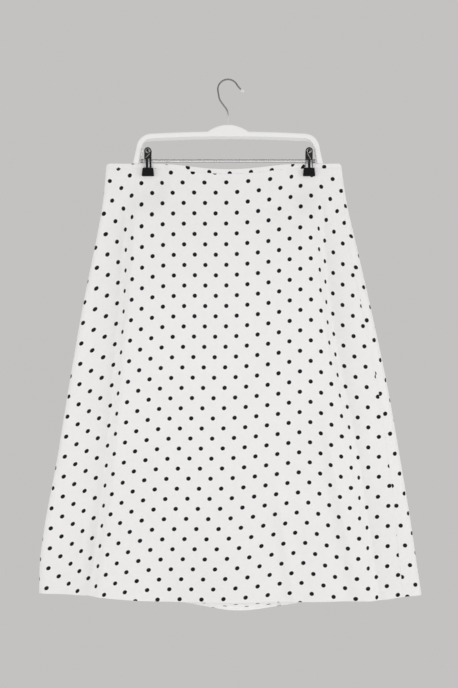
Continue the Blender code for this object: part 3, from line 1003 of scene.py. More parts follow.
@dataclass(frozen=True)
class Sheet:
    """A piece of cloth sewn into the skirt: a thin closed shell laid along rows of the form.

    path: its rows; cells: even cells across, between the close points at the side edges;
    shift: what is added to its print's two coordinates; side_gaps: those close points;
    side_trim: cloth left off at each side edge; slope_reach: step along the form over which
    its slope is read.
    """

    name: str
    panel: Panel
    form: SkirtForm
    path: tuple[PathPoint, ...]
    cells: int
    shift: tuple[float, float] = (0.0, 0.0)
    thickness: float = 0.5
    side_gaps: tuple[float, ...] = (0.0, 0.05, 0.15, 0.3, 0.7)
    side_trim: float = 0.05
    slope_reach: float = 0.5

    def middle(self) -> tuple[np.ndarray, np.ndarray]:
        """Middle of the cloth, row by row, and the distance of each point from the grain line.

        Returns:
            The points and the distances, by row and column.
        """
        rows, alongs = [], []
        reach = self.slope_reach / self.form.length
        gaps = [self.side_trim + gap for gap in self.side_gaps]
        for point in self.path:
            here = self.form.strip(self.panel, point.fall, gaps, self.cells)
            above = self.form.strip(self.panel, point.fall - reach, gaps, self.cells).points
            below = self.form.strip(self.panel, point.fall + reach, gaps, self.cells).points
            normals = -np.cross(np.gradient(here.points, axis=0), below - above)
            normals /= np.linalg.norm(normals, axis=1, keepdims=True)
            rows.append(here.points + normals * point.offset)
            alongs.append(here.along)
        return np.array(rows), np.array(alongs)

    def thinning(self) -> np.ndarray:
        """Share of the full thickness at each point, falling to 0 at the cloth's edges.

        Returns:
            The share, by row and column.
        """
        radius = self.thickness / 2
        down = np.array(column(self.path, "down"))
        rows = turn_profile(np.minimum(down - down[0], down[-1] - down), radius)
        gaps = np.array(self.side_gaps)
        across = np.concatenate([gaps[:-1], np.full(self.cells + 1, gaps[-1]), gaps[:-1][::-1]])
        return rows[:, None] * turn_profile(across, radius)[None, :]

    def pattern(self, middle: np.ndarray, along: np.ndarray) -> np.ndarray:
        """Where each point lies on the printed pattern, in metres."""
        raise NotImplementedError

    def seen_through(self, pattern: np.ndarray) -> np.ndarray:
        """Where the print shows faintly through on the wrong side."""
        return pattern

    def above_hem(self, down: np.ndarray) -> np.ndarray:
        """Distance of each row from the hem's fold, or a large one where there is none."""
        return np.full(down.shape, NO_HEM)

    def lay_face(
        self, shape: bmesh.types.BMesh, number: int, points: np.ndarray, maps: dict[str, np.ndarray]
    ) -> None:
        """Add one face of the cloth to the sheet's shape.

        Args:
            shape: The shape, which has the UV maps already.
            number: 0 for the face that shows and 1 for the other, which is turned round.
            points: The face's points in metres, by row and column.
            maps: Coordinates of each UV map at those points.
        """
        rows, columns = points.shape[:2]
        old = set(shape.faces)
        made = bmesh.ops.create_grid(
            shape, x_segments=columns - 1, y_segments=rows - 1, size=1.0
        )["verts"]
        faces = [face for face in shape.faces if face not in old]
        places = {}
        for vert in made:
            row = round((1 - vert.co.y) / 2 * (rows - 1))
            place = (row, round((vert.co.x + 1) / 2 * (columns - 1)))
            places[vert] = place
            vert.co = points[place]
        layers = [(shape.loops.layers.uv[name], values) for name, values in maps.items()]
        for face in faces:
            face.material_index = number
            face.smooth = True
            for loop in face.loops:
                for layer, values in layers:
                    loop[layer].uv = values[places[loop.vert]]
        if number:
            bmesh.ops.reverse_faces(shape, faces=faces)

    def build(self, printed: bpy.types.Material, reverse: bpy.types.Material) -> bpy.types.Object:
        """Make the sheet.

        Args:
            printed: Finish of the face that shows.
            reverse: Finish of its other face.

        Returns:
            The sheet as an object.
        """
        middle, along = self.middle()
        normals = -np.cross(np.gradient(middle, axis=1), np.gradient(middle, axis=0))
        normals /= np.linalg.norm(normals, axis=2, keepdims=True)
        half = self.thickness / 2 * self.thinning()[:, :, None]
        pattern = self.pattern(middle, along)
        down = np.array(column(self.path, "down"))
        hem = self.above_hem(down)[:, None] * MM + np.zeros(middle.shape[:2])
        edges = np.stack([along * MM, hem], axis=2)
        shape = bmesh.new()
        for name in ("pattern", "edges"):
            shape.loops.layers.uv.new(name)
        outer, inner = (middle + half * normals) * MM, (middle - half * normals) * MM
        self.lay_face(shape, 0, outer, {"pattern": pattern, "edges": edges})
        self.lay_face(shape, 1, inner, {"pattern": self.seen_through(pattern), "edges": edges})
        rim = [vert for vert in shape.verts if vert.is_boundary]
        bmesh.ops.remove_doubles(shape, verts=rim, dist=RIM_WELD_M)
        return linked(self.name, shape, printed, reverse)


class Droop(NamedTuple):
    """How far the printed rows hang below level, at a place across from the grain line."""

    across: float
    front: float
    back: float


DROOPS = (
    Droop(-400.0, 41.0, 32.0),
    Droop(-365.0, 41.0, 25.0),
    Droop(-335.0, 41.0, 18.6),
    Droop(-315.0, 38.5, 12.0),
    Droop(-276.0, 31.0, -1.0),
    Droop(-236.0, 19.0, -6.0),
    Droop(-197.0, 9.7, -6.0),
    Droop(-158.0, 4.3, -5.0),
    Droop(-118.0, 0.2, -4.0),
    Droop(-79.0, -1.1, -3.0),
    Droop(0.0, -1.3, -2.0),
    Droop(79.0, -7.0, -1.0),
    Droop(118.0, -11.5, 0.5),
    Droop(158.0, -13.2, 3.0),
    Droop(197.0, -8.3, 6.0),
    Droop(236.0, -2.8, 10.0),
    Droop(276.0, -2.2, 14.0),
    Droop(315.0, -5.0, 19.0),
    Droop(370.0, -12.0, 27.0),
)


class Ease(NamedTuple):
    """How far the print of the front is shifted at one height.

    rise: how much higher the printed rows lie; the rest: how far the printed columns lie to
    the right, at EASE_PLACES.
    """

    height: float
    rise: float
    far_left: float
    left: float
    middle: float
    right: float
    far_right: float
    edge: float


EASES = (
    Ease(-960.0, 7.2, 11.0, 4.5, -0.5, -2.5, -2.5, 0.5),
    Ease(-880.0, 5.0, 10.0, 5.0, 0.0, 1.0, 0.5, 1.0),
    Ease(-800.0, 3.4, 7.0, 5.0, 1.0, 4.0, 1.5, 1.0),
    Ease(-720.0, 1.6, 5.0, 4.0, 1.0, 3.2, 1.2, 0.5),
    Ease(-650.0, -0.2, 4.7, 3.0, 1.2, 1.6, 0.2, -1.0),
    Ease(-570.0, -1.5, 2.0, 2.3, 1.0, 0.0, -3.5, -4.0),
    Ease(-495.0, -1.8, 1.0, 4.1, 1.4, -1.3, -7.0, -8.0),
    Ease(-420.0, -2.6, 5.0, 7.4, 2.4, -1.0, -8.5, -15.0),
    Ease(-345.0, -2.8, 8.0, 9.8, 2.8, -0.4, -9.0, -22.0),
    Ease(-268.0, -2.2, -1.0, 6.5, 1.6, 1.2, -9.0, -18.0),
    Ease(-205.0, -1.2, 8.0, 1.8, -0.3, 4.8, 1.8, -1.0),
    Ease(-175.0, -1.6, -1.0, -5.0, -3.8, 7.1, 9.5, 3.0),
)
# Across the cloth from the grain line.
EASE_PLACES = {
    "far_left": -276.0,
    "left": -220.0,
    "middle": -150.0,
    "right": 150.0,
    "far_right": 242.0,
    "edge": 290.0,
}


@dataclass(frozen=True)
class PanelSheet(Sheet):
    """The front or the back of the skirt, with its hem turned up inside.

    print_level: from the hook's seat to a printed row; lift_places, lifts, lift_half_width,
    lift_bottom: where the clips lift the print, how far, how wide and down to which height;
    curl, curl_height: how strongly the print on the wrong side is drawn together, and up to
    where above the hem; wrong_side: what is added to that print's two coordinates;
    lean_heights, leans: how far the printed columns are moved towards the piece's first side
    edge at each height; growth, growth_level: how much closer the printed rows lie, and the
    height from which that is counted; stretch: how far the print is drawn out across, at
    stretch_falls.
    """

    print_level: float = 495.3
    lift_places: tuple[float, float] = (-156.0, 170.0)
    lifts: tuple[float, float] = (6.6, 4.0)
    lift_half_width: float = 32.0
    lift_bottom: float = -290.0
    curl: float = 0.0
    curl_height: float = 13.0
    wrong_side: tuple[float, float] = (0.0, 0.0)
    lean_heights: tuple[float, ...] = (-960.0, -860.0, -740.0, -620.0, -500.0, -400.0, -340.0)
    leans: tuple[float, ...] = (0.0,) * 7
    growth: float = 0.0
    growth_level: float = -688.0
    stretch_falls: tuple[float, ...] = (0.0, 0.5, 1.0)
    stretch: tuple[float, ...] = (-0.01, 0.01, 0.04)

    def above_hem(self, down: np.ndarray) -> np.ndarray:
        """Distance of each row above the hem's fold, less than 0 where the cloth is turned up."""
        return self.form.length - down

    def seen_through(self, pattern: np.ndarray) -> np.ndarray:
        """The print on the wrong side, drawn together where the back's hem curls.

        Args:
            pattern: Where each point lies on the pattern, in metres.

        Returns:
            The same for the wrong side.
        """
        down = np.array(column(self.path, "down"))
        curled = np.maximum(self.curl_height - self.above_hem(down), 0.0) * self.curl
        aside = np.full(curled.shape, self.wrong_side[0])
        return pattern + np.stack([aside, self.wrong_side[1] - curled], axis=1)[:, None, :] * MM

    def eased(self, across: np.ndarray, height: np.ndarray) -> tuple[np.ndarray, np.ndarray]:
        """How far the print is shifted aside and up at points of the front.

        Args:
            across: Places across the cloth from the grain line.
            height: Heights of those places.

        Returns:
            What is added to the print's place across, and to its level.
        """
        levels = column(EASES, "height")
        up = -smooth_through(levels, column(EASES, "rise"), height)
        reach = soft_step((height - self.lift_bottom) / -(self.lift_bottom + self.form.waist_drop))
        for place, lift in zip(self.lift_places, self.lifts):
            up -= lift * reach * np.exp(-(((across - place) / self.lift_half_width) ** 2))
        aside = np.array(
            [smooth_through(levels, column(EASES, name), height) for name in EASE_PLACES]
        )
        places = np.array(list(EASE_PLACES.values()))
        at = np.clip(across, places[0], places[-1])
        index = np.clip(np.searchsorted(places, at, side="right") - 1, 0, len(places) - 2)
        share = soft_step((at - places[index]) / (places[index + 1] - places[index]))
        before = np.take_along_axis(aside, index[None], axis=0)[0]
        after = np.take_along_axis(aside, index[None] + 1, axis=0)[0]
        return -(before + (after - before) * share), up

    def pattern(self, middle: np.ndarray, along: np.ndarray) -> np.ndarray:
        """Where each point lies on the printed pattern, in metres.

        Args:
            middle: Points of the sheet, by row and column.
            along: Distance of each from the grain line.

        Returns:
            Two coordinates for each point.
        """
        falls = np.array(column(self.path, "fall"))
        down = np.array(column(self.path, "down"))
        hem_row = int(np.argmin(np.abs(down - self.form.length)))
        past = np.maximum(down - self.form.length, 0.0)
        across = along / (1 + smooth_through(self.stretch_falls, self.stretch, falls))[:, None]
        height = middle[:, :, 2].copy()
        height[hem_row:] = height[hem_row] - past[hem_row:, None]
        droop = smooth_through(column(DROOPS, "across"), column(DROOPS, self.panel.value), across)
        level = height + self.print_level + droop + self.growth * (height - self.growth_level)
        across = across + smooth_through(self.lean_heights, self.leans, height)
        if self.panel is Panel.FRONT:
            aside, up = self.eased(across, height)
            across, level = across + aside, level + up
        return np.stack([across + self.shift[0], level + self.shift[1]], axis=2) * MM


class BandRow(NamedTuple):
    """How the print lies on the waistband, across the band from the grain line.

    front, back: how far below the waist edge a printed row lies; aside: how far the printed
    columns of the front lie to the right.
    """

    across: float
    front: float
    back: float
    aside: float


BAND_ROWS = (
    BandRow(-230.0, -8.0, 9.0, 8.0),
    BandRow(-204.0, -6.4, 8.0, 8.6),
    BandRow(-176.0, -21.0, 6.0, -3.9),
    BandRow(-140.0, -8.6, 5.0, -2.0),
    BandRow(-110.0, -3.0, 4.0, 0.0),
    BandRow(-70.0, 2.2, 3.5, 1.0),
    BandRow(-30.0, 6.8, 4.0, 1.6),
    BandRow(8.5, 8.0, 4.5, 0.0),
    BandRow(48.0, 7.4, 5.0, 0.0),
    BandRow(87.0, 8.0, 5.5, -1.0),
    BandRow(126.7, 0.6, 5.0, 0.0),
    BandRow(146.0, -13.2, 3.0, 0.0),
    BandRow(186.0, -12.8, 1.0, 0.0),
    BandRow(220.0, -13.6, 0.0, 0.0),
)


@dataclass(frozen=True)
class BandSheet(Sheet):
    """Half of the waistband: a strip folded over the waist edge."""

    def pattern(self, middle: np.ndarray, along: np.ndarray) -> np.ndarray:
        """Where each point lies on the printed pattern, in metres.

        Args:
            middle: Points of the sheet, by row and column; not used here.
            along: Distance of each from the grain line.

        Returns:
            Two coordinates for each point.
        """
        down = np.array(column(self.path, "down"))
        places = column(BAND_ROWS, "across")
        row = smooth_through(places, column(BAND_ROWS, self.panel.value), along)
        level = (down[-1] + down[0]) / 2 - down[:, None] + row
        if self.panel is Panel.FRONT:
            along = along - smooth_through(places, column(BAND_ROWS, "aside"), along)
        return np.stack([along + self.shift[0], level + self.shift[1]], axis=2) * MM


class Cut(NamedTuple):
    """What a sheet stands for and how it was cut.

    node: its solid; slot: its material slot; flat_m: width and height of the cut; area_m2:
    its area, where that isn't the whole rectangle.
    """

    node: str
    slot: str
    flat_m: tuple[float, float]
    area_m2: float | None = None


CUTS = {
    "front_sheet": Cut("skirt_front", "cloth", (0.736, 0.823), 0.486),
    "back_sheet": Cut("skirt_back", "cloth", (0.739, 0.832), 0.489),
    "front_band_sheet": Cut("waistband_front", "band", (0.444, 0.018)),
    "back_band_sheet": Cut("waistband_back", "band", (0.444, 0.018)),
}


@dataclass(frozen=True)
class SkirtSewing:
    """How the skirt is sewn together from its sheets.

    band_height: of the waistband; seam_gap: between it and the panels; outer, inner: offsets
    of the outer and the inner layer from the form; turning: height of the turned-up hem; rim:
    close rows at an edge; row: usual height of a row; hem_rows: rows above the hem's fold,
    which take the place of the last hem_cells even ones; turning_rows: first rows past the
    fold; band_rows: rows of the band past the close ones at its edge; cells: even cells across
    a sheet; fold_steps: steps round a fold.
    """

    form: SkirtForm = field(default_factory=SkirtForm)
    band_height: float = 8.4
    seam_gap: float = 0.1
    outer: float = 0.35
    inner: float = -0.3
    turning: float = 4.5
    rim: tuple[float, ...] = (0.0, 0.05, 0.15, 0.3, 0.7, 1.6, 3.0)
    row: float = 5.2
    hem_rows: tuple[float, ...] = (15.4, 14.0, 12.6, 11.2, 9.8, 8.4, 7.0, 5.6, 4.2, 2.9, 1.6, 0.6)
    hem_cells: int = 4
    turning_rows: tuple[float, ...] = (0.0, 0.5)
    band_rows: tuple[float, ...] = (4.2, 2.0, 0.8, 0.0)
    cells: int = 232
    fold_steps: int = 6

    def fold(self, fall: float, down: float, sign: float) -> list[PathPoint]:
        """Rows round a fold at a level, over the waist (sign -1) or under the hem (sign 1).

        Args:
            fall: The level of the fold.
            down: Cloth used up before it.
            sign: -1 over the waist and 1 under the hem.

        Returns:
            The rows between the two layers.
        """
        radius = (self.outer - self.inner) / 2
        centre = (self.outer + self.inner) / 2
        rows = []
        for step in range(1, self.fold_steps):
            turn = math.pi * step / self.fold_steps
            reach = sign * radius * math.sin(turn) / self.form.length
            offset = centre + sign * radius * math.cos(turn)
            rows.append(PathPoint(fall + reach, offset, down + radius * turn))
        return rows

    def panel_path(self) -> tuple[PathPoint, ...]:
        """Rows of a panel: down the outside, round the hem's fold and up its turning.

        Returns:
            The rows in order.
        """
        length = self.form.length
        start = self.band_height + self.seam_gap
        count = round((length - start - 2 * self.rim[-1]) / self.row)
        even = np.linspace(start + self.rim[-1], length - self.rim[-1], count + 1)
        downs = [start + gap for gap in self.rim[:-1]] + list(even[: -self.hem_cells])
        downs += [length - gap for gap in self.hem_rows] + [length]
        rows = [PathPoint(down / length, self.outer, down) for down in downs]
        rows += self.fold(1.0, length, 1.0)
        folded = length + math.pi * (self.outer - self.inner) / 2
        ups = [*self.turning_rows, *(self.turning - gap for gap in reversed(self.rim[:-2]))]
        rows += [PathPoint(1 - up / length, self.inner, folded + up) for up in ups]
        return tuple(rows)

    def band_path(self) -> tuple[PathPoint, ...]:
        """Rows of a waistband half: up the inside, over the waist edge and down the outside.

        Returns:
            The rows in order.
        """
        length = self.form.length
        heights = [*(self.band_height - gap for gap in self.rim[:-1]), *self.band_rows]
        rows = [PathPoint(at / length, self.inner, self.band_height - at) for at in heights]
        rows += self.fold(0.0, self.band_height, -1.0)
        folded = self.band_height + math.pi * (self.outer - self.inner) / 2
        rows += [PathPoint(at / length, self.outer, folded + at) for at in reversed(heights)]
        return tuple(rows)

    def sheets(self) -> tuple[Sheet, ...]:
        """The four sheets before they are made.

        Returns:
            The front, the back and the two halves of the waistband.
        """
        panel = {"form": self.form, "path": self.panel_path(), "cells": self.cells}
        band = {"form": self.form, "path": self.band_path(), "cells": self.cells}
        return (
            PanelSheet("front_sheet", Panel.FRONT, **panel),
            PanelSheet(
                "back_sheet", Panel.BACK, shift=(7.0, 6.0), print_level=480.0, curl=4.0,
                wrong_side=(0.9, 6.4), leans=(24.0, 23.5, 15.5, 8.0, 0.0, -3.5, -6.5),
                growth=0.045, **panel,
            ),
            BandSheet("front_band_sheet", Panel.FRONT, shift=(-8.5, 0.0), **band),
            BandSheet("back_band_sheet", Panel.BACK, shift=(5.0, 0.0), **band),
        )

    def build(self) -> list[bpy.types.Object]:
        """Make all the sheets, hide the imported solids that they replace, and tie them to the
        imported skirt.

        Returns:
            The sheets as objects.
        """
        printed = DottedCloth("dotted_cloth").build()
        wrong_side = {"weight": 0.8, "ink": grey(0.05), "faces_in": True}
        reverse = DottedCloth("dotted_cloth_reverse", **wrong_side).build()
        made = []
        for sheet in self.sheets():
            cut = CUTS[sheet.name]
            piece = sheet.build(printed, reverse)
            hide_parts(cut.node)
            fix_to_body(piece)
            made.append(piece)
        return made


# --- the hanger -------------------------------------------------------------


def edges_at(verts: Sequence[bmesh.types.BMVert]) -> list[bmesh.types.BMEdge]:
    """The edges that meet at some vertices, each once and always in the same order."""
    return list(dict.fromkeys(edge for vert in verts for edge in vert.link_edges))


def between(start: Vector, end: Vector) -> Matrix:
    """The place midway between two points, with its Z axis along the way to the second."""
    turn = (end - start).to_track_quat("Z", "Y").to_matrix().to_4x4()
    return Matrix.Translation((start + end) / 2) @ turn


@dataclass
class Workpiece:
    """A mesh of the hanger's small parts while it is being made, in millimetres.

    wire_sides, rod_sides: faces round a wire and a rod; eye_steps, turn_steps: steps round an
    eye and round each turn of a coil; rounding, rounding_steps: of a rib's edges, as a share
    of its height; crisp_angle: in degrees, past which an edge isn't smoothed.
    """

    wire_sides: int = 8
    rod_sides: int = 12
    eye_steps: int = 28
    turn_steps: int = 18
    rounding: float = 0.35
    rounding_steps: int = 3
    crisp_angle: float = 50.0
    shape: bmesh.types.BMesh = field(default_factory=bmesh.new)

    def section(self, radius: float, place: Matrix) -> list[object]:
        """A round section of wire.

        Args:
            radius: The wire's radius.
            place: Where the section lies and how it is turned.

        Returns:
            Its vertices and edges, as a spin takes them.
        """
        verts = bmesh.ops.create_circle(
            self.shape, segments=self.wire_sides, radius=radius, matrix=place
        )["verts"]
        return [*verts, *edges_at(verts)]

    def eye(self, centre: Vector, radius: float, wire: float) -> None:
        """Add a ring of wire that faces along Y.

        Args:
            centre: The ring's centre.
            radius: From there to the middle of the wire.
            wire: The wire's radius.
        """
        place = Matrix.Translation(centre + Vector((radius, 0.0, 0.0)))
        bmesh.ops.spin(
            self.shape, geom=self.section(wire, place), cent=centre, axis=(0.0, 1.0, 0.0),
            angle=2 * math.pi, steps=self.eye_steps, use_merge=True,
        )

    def coil(self, centre: Vector, radius: float, wire: float, turns: int, length: float) -> None:
        """Add a coil of wire round a rod that lies along X.

        Args:
            centre: The coil's centre.
            radius: From the rod's middle to the middle of the wire.
            wire: The wire's radius.
            turns: Number of turns.
            length: The coil's length.
        """
        steps = self.turn_steps * turns
        start = centre - Vector((length / 2, 0.0, 0.0))
        place = Matrix.Translation(start + Vector((0.0, 0.0, radius)))
        place @= Matrix.Rotation(math.pi / 2, 4, "X")
        bmesh.ops.spin(
            self.shape, geom=self.section(wire, place), cent=start, axis=(1.0, 0.0, 0.0),
            dvec=(length / steps, 0.0, 0.0), angle=2 * math.pi * turns, steps=steps,
        )
        ends = [edge for edge in self.shape.edges if edge.is_boundary]
        bmesh.ops.holes_fill(self.shape, edges=ends, sides=0)

    def rod(self, start: Vector, end: Vector, radius: float) -> None:
        """Add a short straight rod with closed ends.

        Args:
            start: Middle of its first end.
            end: Middle of its other end.
            radius: The rod's radius.
        """
        bmesh.ops.create_cone(
            self.shape, cap_ends=True, segments=self.rod_sides, radius1=radius, radius2=radius,
            depth=(end - start).length, matrix=between(start, end),
        )

    def rib(self, top: Vector, bottom: Vector, width: float, height: float) -> None:
        """Add a pressed rib with rounded edges.

        Args:
            top: Middle of its upper end.
            bottom: Middle of its lower end.
            width: Its width.
            height: How far it stands out, half of it on each side of that line.
        """
        made = bmesh.ops.create_cube(self.shape, size=1.0)["verts"]
        bmesh.ops.scale(self.shape, vec=(width, height, (top - bottom).length), verts=made)
        bmesh.ops.transform(self.shape, matrix=between(bottom, top), verts=made)
        bmesh.ops.bevel(
            self.shape, geom=edges_at(made), offset=self.rounding * height,
            segments=self.rounding_steps, profile=0.5, affect="EDGES", material=-1,
        )

    def finish(self, name: str, material: bpy.types.Material) -> bpy.types.Object:
        """Turn what was made into an object.

        Args:
            name: The object's name.
            material: Its finish.

        Returns:
            The object.
        """
        bmesh.ops.recalc_face_normals(self.shape, faces=self.shape.faces)
        bmesh.ops.scale(self.shape, vec=(MM, MM, MM), verts=self.shape.verts)
        made = linked(name, self.shape, material)
        made.data.shade_smooth()
        made.data.set_sharp_from_angle(angle=math.radians(self.crisp_angle))
        return made


class Rib(NamedTuple):
    """A bright pressed rib on a clip's leg: its offset from the clip's middle, width and top."""

    offset: float
    width: float
    top: float


class Strut(NamedTuple):
    """A bright wire across the upper part of a clip's leg, from the clip's middle."""

    x: float
    z: float
    end_x: float
    end_z: float


@dataclass(frozen=True)
class ClipTrim:
    """What is pressed into and wound round one clip, over its plain solids.

    place: the clip's middle; bar_level, eye_level: heights of the bar and of the eyes; foot:
    where the ribs end; leg_levels, leg_offsets, leg_half: how far the middle of a leg stands
    out at three heights, and half its thickness; rib_height: of the ribs; eye_radius,
    eye_wire: of the eyes; strut_height, strut_radius: of the wires across; rivet_x, rivet_rise,
    rivet_reach, rivet_radius: a rivet's place in its eye, half its length and its radius;
    coil_radius, coil_wire, coil_turns, coil_length: of the spring.
    """

    side: Side
    place: float
    ribs: tuple[Rib, ...]
    strut: Strut
    bar_level: float = -150.3
    eye_level: float = -132.2
    foot: float = -163.3
    leg_levels: tuple[float, float, float] = (-163.5, -150.3, -125.6)
    leg_offsets: tuple[float, float, float] = (4.2, 5.6, 9.4)
    leg_half: float = 0.55
    rib_height: float = 1.3
    eye_radius: float = 4.0
    eye_wire: float = 0.75
    strut_height: float = 0.4
    strut_radius: float = 0.8
    rivet_x: float = -0.3
    rivet_rise: float = 0.4
    rivet_reach: float = 0.8
    rivet_radius: float = 1.9
    coil_radius: float = 3.95
    coil_wire: float = 0.62
    coil_turns: int = 7
    coil_length: float = 8.6

    def on_leg(self, outward: float, x: float, z: float, height: float = 0.0) -> Vector:
        """A point at a height above the outer face of a leg."""
        offset = float(smooth_through(self.leg_levels, self.leg_offsets, z))
        return Vector((self.place + x, outward * (offset + self.leg_half + height), z))

    def ribs_on(self, outward: float) -> Workpiece:
        """The ribs, the eye and the wire on one leg.

        Args:
            outward: Direction along Y in which the leg faces.

        Returns:
            All of them as one workpiece.
        """
        trim = Workpiece()
        for rib in self.ribs:
            top = self.on_leg(outward, rib.offset, rib.top)
            trim.rib(top, self.on_leg(outward, rib.offset, self.foot), rib.width, self.rib_height)
        trim.eye(self.on_leg(outward, 0.0, self.eye_level), self.eye_radius, self.eye_wire)
        start = self.on_leg(outward, self.strut.x, self.strut.z, self.strut_height)
        end = self.on_leg(outward, self.strut.end_x, self.strut.end_z, self.strut_height)
        trim.rod(start, end, self.strut_radius)
        return trim

    def rivet_on(self, outward: float) -> Workpiece:
        """The rivet in the eye of one leg.

        Args:
            outward: Direction along Y in which the leg faces.

        Returns:
            It as a workpiece.
        """
        rivet = Workpiece()
        middle = self.on_leg(outward, self.rivet_x, self.eye_level + self.rivet_rise)
        reach = Vector((0.0, self.rivet_reach, 0.0))
        rivet.rod(middle - reach, middle + reach, self.rivet_radius)
        return rivet

    def build(self, bright: bpy.types.Material, dark: bpy.types.Material) -> list[bpy.types.Object]:
        """Make the trim and fix it to the clip.

        Args:
            bright: Finish of the ribs, the eyes, the wires and the spring.
            dark: Finish of the rivets.

        Returns:
            The pieces.
        """
        made = []
        for panel in Panel:
            leg = f"clip_{self.side.value}_{panel.value}"
            ribs = self.ribs_on(panel.outward).finish(f"{leg}_ribs", bright)
            fix_to_body(ribs)
            rivet = self.rivet_on(panel.outward).finish(f"{leg}_rivet", dark)
            fix_to_body(rivet)
            made += [ribs, rivet]
        spring = Workpiece()
        middle = Vector((self.place, 0.0, self.bar_level))
        spring.coil(middle, self.coil_radius, self.coil_wire, self.coil_turns, self.coil_length)
        coil = spring.finish(f"clip_{self.side.value}_coil", bright)
        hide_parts(f"clip_{self.side.value}_spring")
        fix_to_body(coil)
        return [*made, coil]


@dataclass(frozen=True)
class HangerDress:
    """Finishes of the hanger's own solids, and the trim of its clips."""

    # Painted shade: the rail's recessed web, within about 2.2 mm of its middle plane, is a darker
    # grey, standing for shade under the flange.
    moulding: Plain = PaintedLightBands(
        "white_moulding", grey(0.86), 0.36, axis=Axis.Y, from_middle=True,
        stops=(Stop(2.15, 0.70), Stop(2.6, 0.86)),
    )
    # Painted reflection: the hook's wire is pale grey down its lower stem, where it mirrors the
    # pale surroundings, and dark higher up round the hook.
    wire: Plain = PaintedLightBands(
        "hook_chrome_painted_reflection", grey(0.5), 0.34, metallic=1.0,
        stops=(Stop(-84.0, 0.82), Stop(-68.0, 0.70), Stop(-56.0, 0.26), Stop(0.0, 0.20)),
    )
    # Painted reflection: the bar is near black along its top, bright just below that and mid grey
    # at its underside, as though it mirrored a dark ceiling over pale surroundings.
    bar: Plain = PaintedLightBands(
        "bar_chrome_painted_reflection", grey(0.8), 0.2, metallic=1.0,
        stops=(Stop(-153.0, 0.42), Stop(-151.6, 0.70), Stop(-149.8, 0.62), Stop(-148.7, 0.08)),
    )
    chrome: Plain = Plain("bright_chrome", grey(0.30), 0.28, metallic=1.0)
    collar: Plain = Plain("dull_collar", grey(0.34), 0.38, metallic=0.9)
    leg: Plain = Plain("dark_nickel", grey(0.016), 0.3, metallic=1.0)
    pad: Plain = Plain("black_rubber", grey(0.005), 0.5, specular=0.12)
    cap: Plain = Plain("clear_cap", grey(0.82), 0.2, specular=0.3, alpha=0.4)
    clips: tuple[ClipTrim, ...] = (
        ClipTrim(
            Side.LEFT, -148.8, (Rib(-5.2, 2.6, -147.5), Rib(1.9, 2.4, -146.5)),
            Strut(3.4, -137.6, -3.9, -145.0),
        ),
        ClipTrim(
            Side.RIGHT, 150.7, (Rib(-4.2, 4.3, -148.8), Rib(3.9, 3.2, -148.8)),
            Strut(-3.4, -136.5, 3.0, -147.6),
        ),
    )

    def dress(self, nodes: dict[str, bpy.types.Object]) -> list[bpy.types.Object]:
        """Give each of the hanger's solids its finish, and trim the clips.

        Args:
            nodes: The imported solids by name.

        Returns:
            The solids that were finished and the pieces of trim.
        """
        chosen = {
            "hanger_rail": self.moulding,
            "hanger_hook": self.wire,
            "hook_tip_cap": self.cap,
            "clip_bar": self.bar,
            "bar_collar_left": self.collar,
            "bar_collar_right": self.collar,
        }
        for side in Side:
            chosen[f"clip_{side.value}_spring"] = self.chrome
            for panel in Panel:
                chosen[f"clip_{side.value}_{panel.value}_leg"] = self.leg
                chosen[f"clip_{side.value}_{panel.value}_pad"] = self.pad
        finishes = {finish.name: finish for finish in chosen.values()}
        built = {name: finish.build() for name, finish in finishes.items()}
        for name, finish in chosen.items():
            for place in nodes[name].material_slots:
                place.material = built[finish.name]
        made = [nodes[name] for name in chosen]
        for clip in self.clips:
            made += clip.build(built[self.chrome.name], built[self.leg.name])
        return made


# --- the studio -------------------------------------------------------------


@dataclass(frozen=True)
class Lamp:
    """A soft light panel, its width and height given; the camera doesn't see it."""

    name: str
    place_m: tuple[float, float, float]
    aim_m: tuple[float, float, float]
    size_m: tuple[float, float]
    power: float
    colour: tuple[float, float, float] = (1.0, 1.0, 1.0)

    def build(self) -> None:
        """Put the light in the scene."""
        data = bpy.data.lights.new(self.name, "AREA")
        data.shape = "RECTANGLE"
        data.size, data.size_y = self.size_m
        data.energy = self.power
        data.color = self.colour
        lamp = bpy.data.objects.new(self.name, data)
        lamp.visible_camera = False
        lamp.location = self.place_m
        aim = Vector(self.aim_m) - Vector(self.place_m)
        lamp.rotation_euler = aim.to_track_quat("-Z", "Y").to_euler()
        bpy.context.collection.objects.link(lamp)


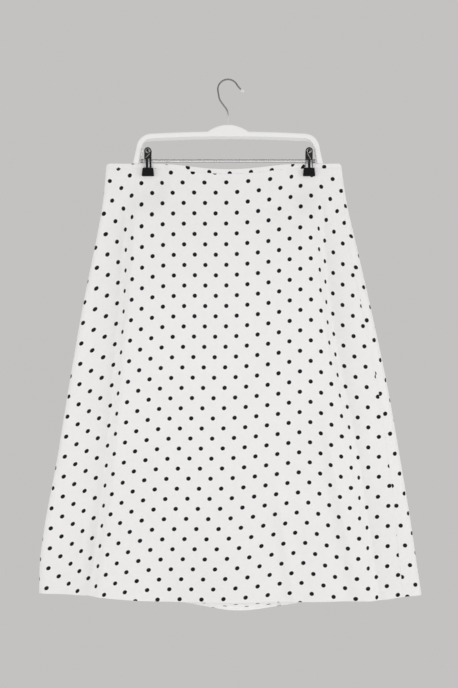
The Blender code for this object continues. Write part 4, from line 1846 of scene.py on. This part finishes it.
@dataclass(frozen=True)
class Studio:
    """Camera, floor, surroundings and lights.

    distance_m, centre_m: how far in front of the hook's plane the camera stands, and the x and
    z at which it looks; frame_height_m: height of that plane which the picture shows; sensor_mm,
    sight_m: the camera's sensor, and how far it sees.
    """

    distance_m: float = 3.2
    frame_height_m: float = PHOTO_ROWS * MM_PER_PIXEL * MM
    centre_m: tuple[float, float] = (0.0019, -0.4907)
    floor_level_m: float = -1.50
    floor_radius_m: float = 1.3
    floor_sides: int = 96
    floor_finish: Plain = Plain("pale_floor", (0.62, 0.61, 0.60, 1.0), 0.8)
    surroundings: Colour = (0.548, 0.538, 0.533, 1.0)
    sensor_mm: float = 36.0
    sight_m: float = 50.0
    lamps: tuple[Lamp, ...] = (
        Lamp("key_light", (-0.04, -1.45, -0.60), (0.0, 0.0, -0.60), (2.4, 0.5), 7.1),
        Lamp("left_light", (-3.2, -1.6, -0.4), (0.0, 0.0, -0.5), (2.0, 2.0), 28.5),
        Lamp("right_light", (3.2, -1.6, -0.5), (0.0, 0.0, -0.5), (2.0, 2.0), 35.5),
        Lamp("back_light", (0.6, 2.9, 0.9), (0.0, 0.0, -0.5), (1.8, 1.8), 44.0),
    )

    def build(self) -> None:
        """Set up all of it."""
        self.add_camera()
        self.add_floor()
        self.add_surroundings()
        for lamp in self.lamps:
            lamp.build()

    def add_camera(self) -> None:
        """A level camera in front of the skirt."""
        data = bpy.data.cameras.new("camera")
        data.sensor_width = self.sensor_mm
        data.lens = data.sensor_width * self.distance_m / self.frame_height_m
        data.clip_end = self.sight_m
        camera = bpy.data.objects.new("camera", data)
        camera.location = (self.centre_m[0], -self.distance_m, self.centre_m[1])
        camera.rotation_euler = (math.pi / 2, 0.0, 0.0)
        bpy.context.collection.objects.link(camera)
        bpy.context.scene.camera = camera

    def add_floor(self) -> None:
        """A plain pale floor below the hanging skirt."""
        shape = bmesh.new()
        bmesh.ops.create_circle(
            shape, cap_ends=True, segments=self.floor_sides, radius=self.floor_radius_m
        )
        bmesh.ops.translate(shape, verts=shape.verts, vec=(0.0, 0.0, self.floor_level_m))
        linked("floor", shape, self.floor_finish.build())

    def add_surroundings(self) -> None:
        """An even light grey all round."""
        scene = bpy.context.scene
        world = bpy.data.worlds.new("light_grey")
        world.use_nodes = True
        sky = next(node for node in world.node_tree.nodes if node.type == "BACKGROUND")
        sky.inputs["Color"].default_value = self.surroundings
        scene.world = world
        scene.view_settings.view_transform = "Standard"


# --- the whole --------------------------------------------------------------


def main() -> None:
    """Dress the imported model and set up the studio."""
    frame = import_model()
    for piece in [*SkirtSewing().build(), *HangerDress().dress(frame["nodes"])]:
        LOG.info("ready: %s", piece.name)
    Studio().build()


if __name__ == "__main__":
    logging.basicConfig(level=logging.INFO)
    main()
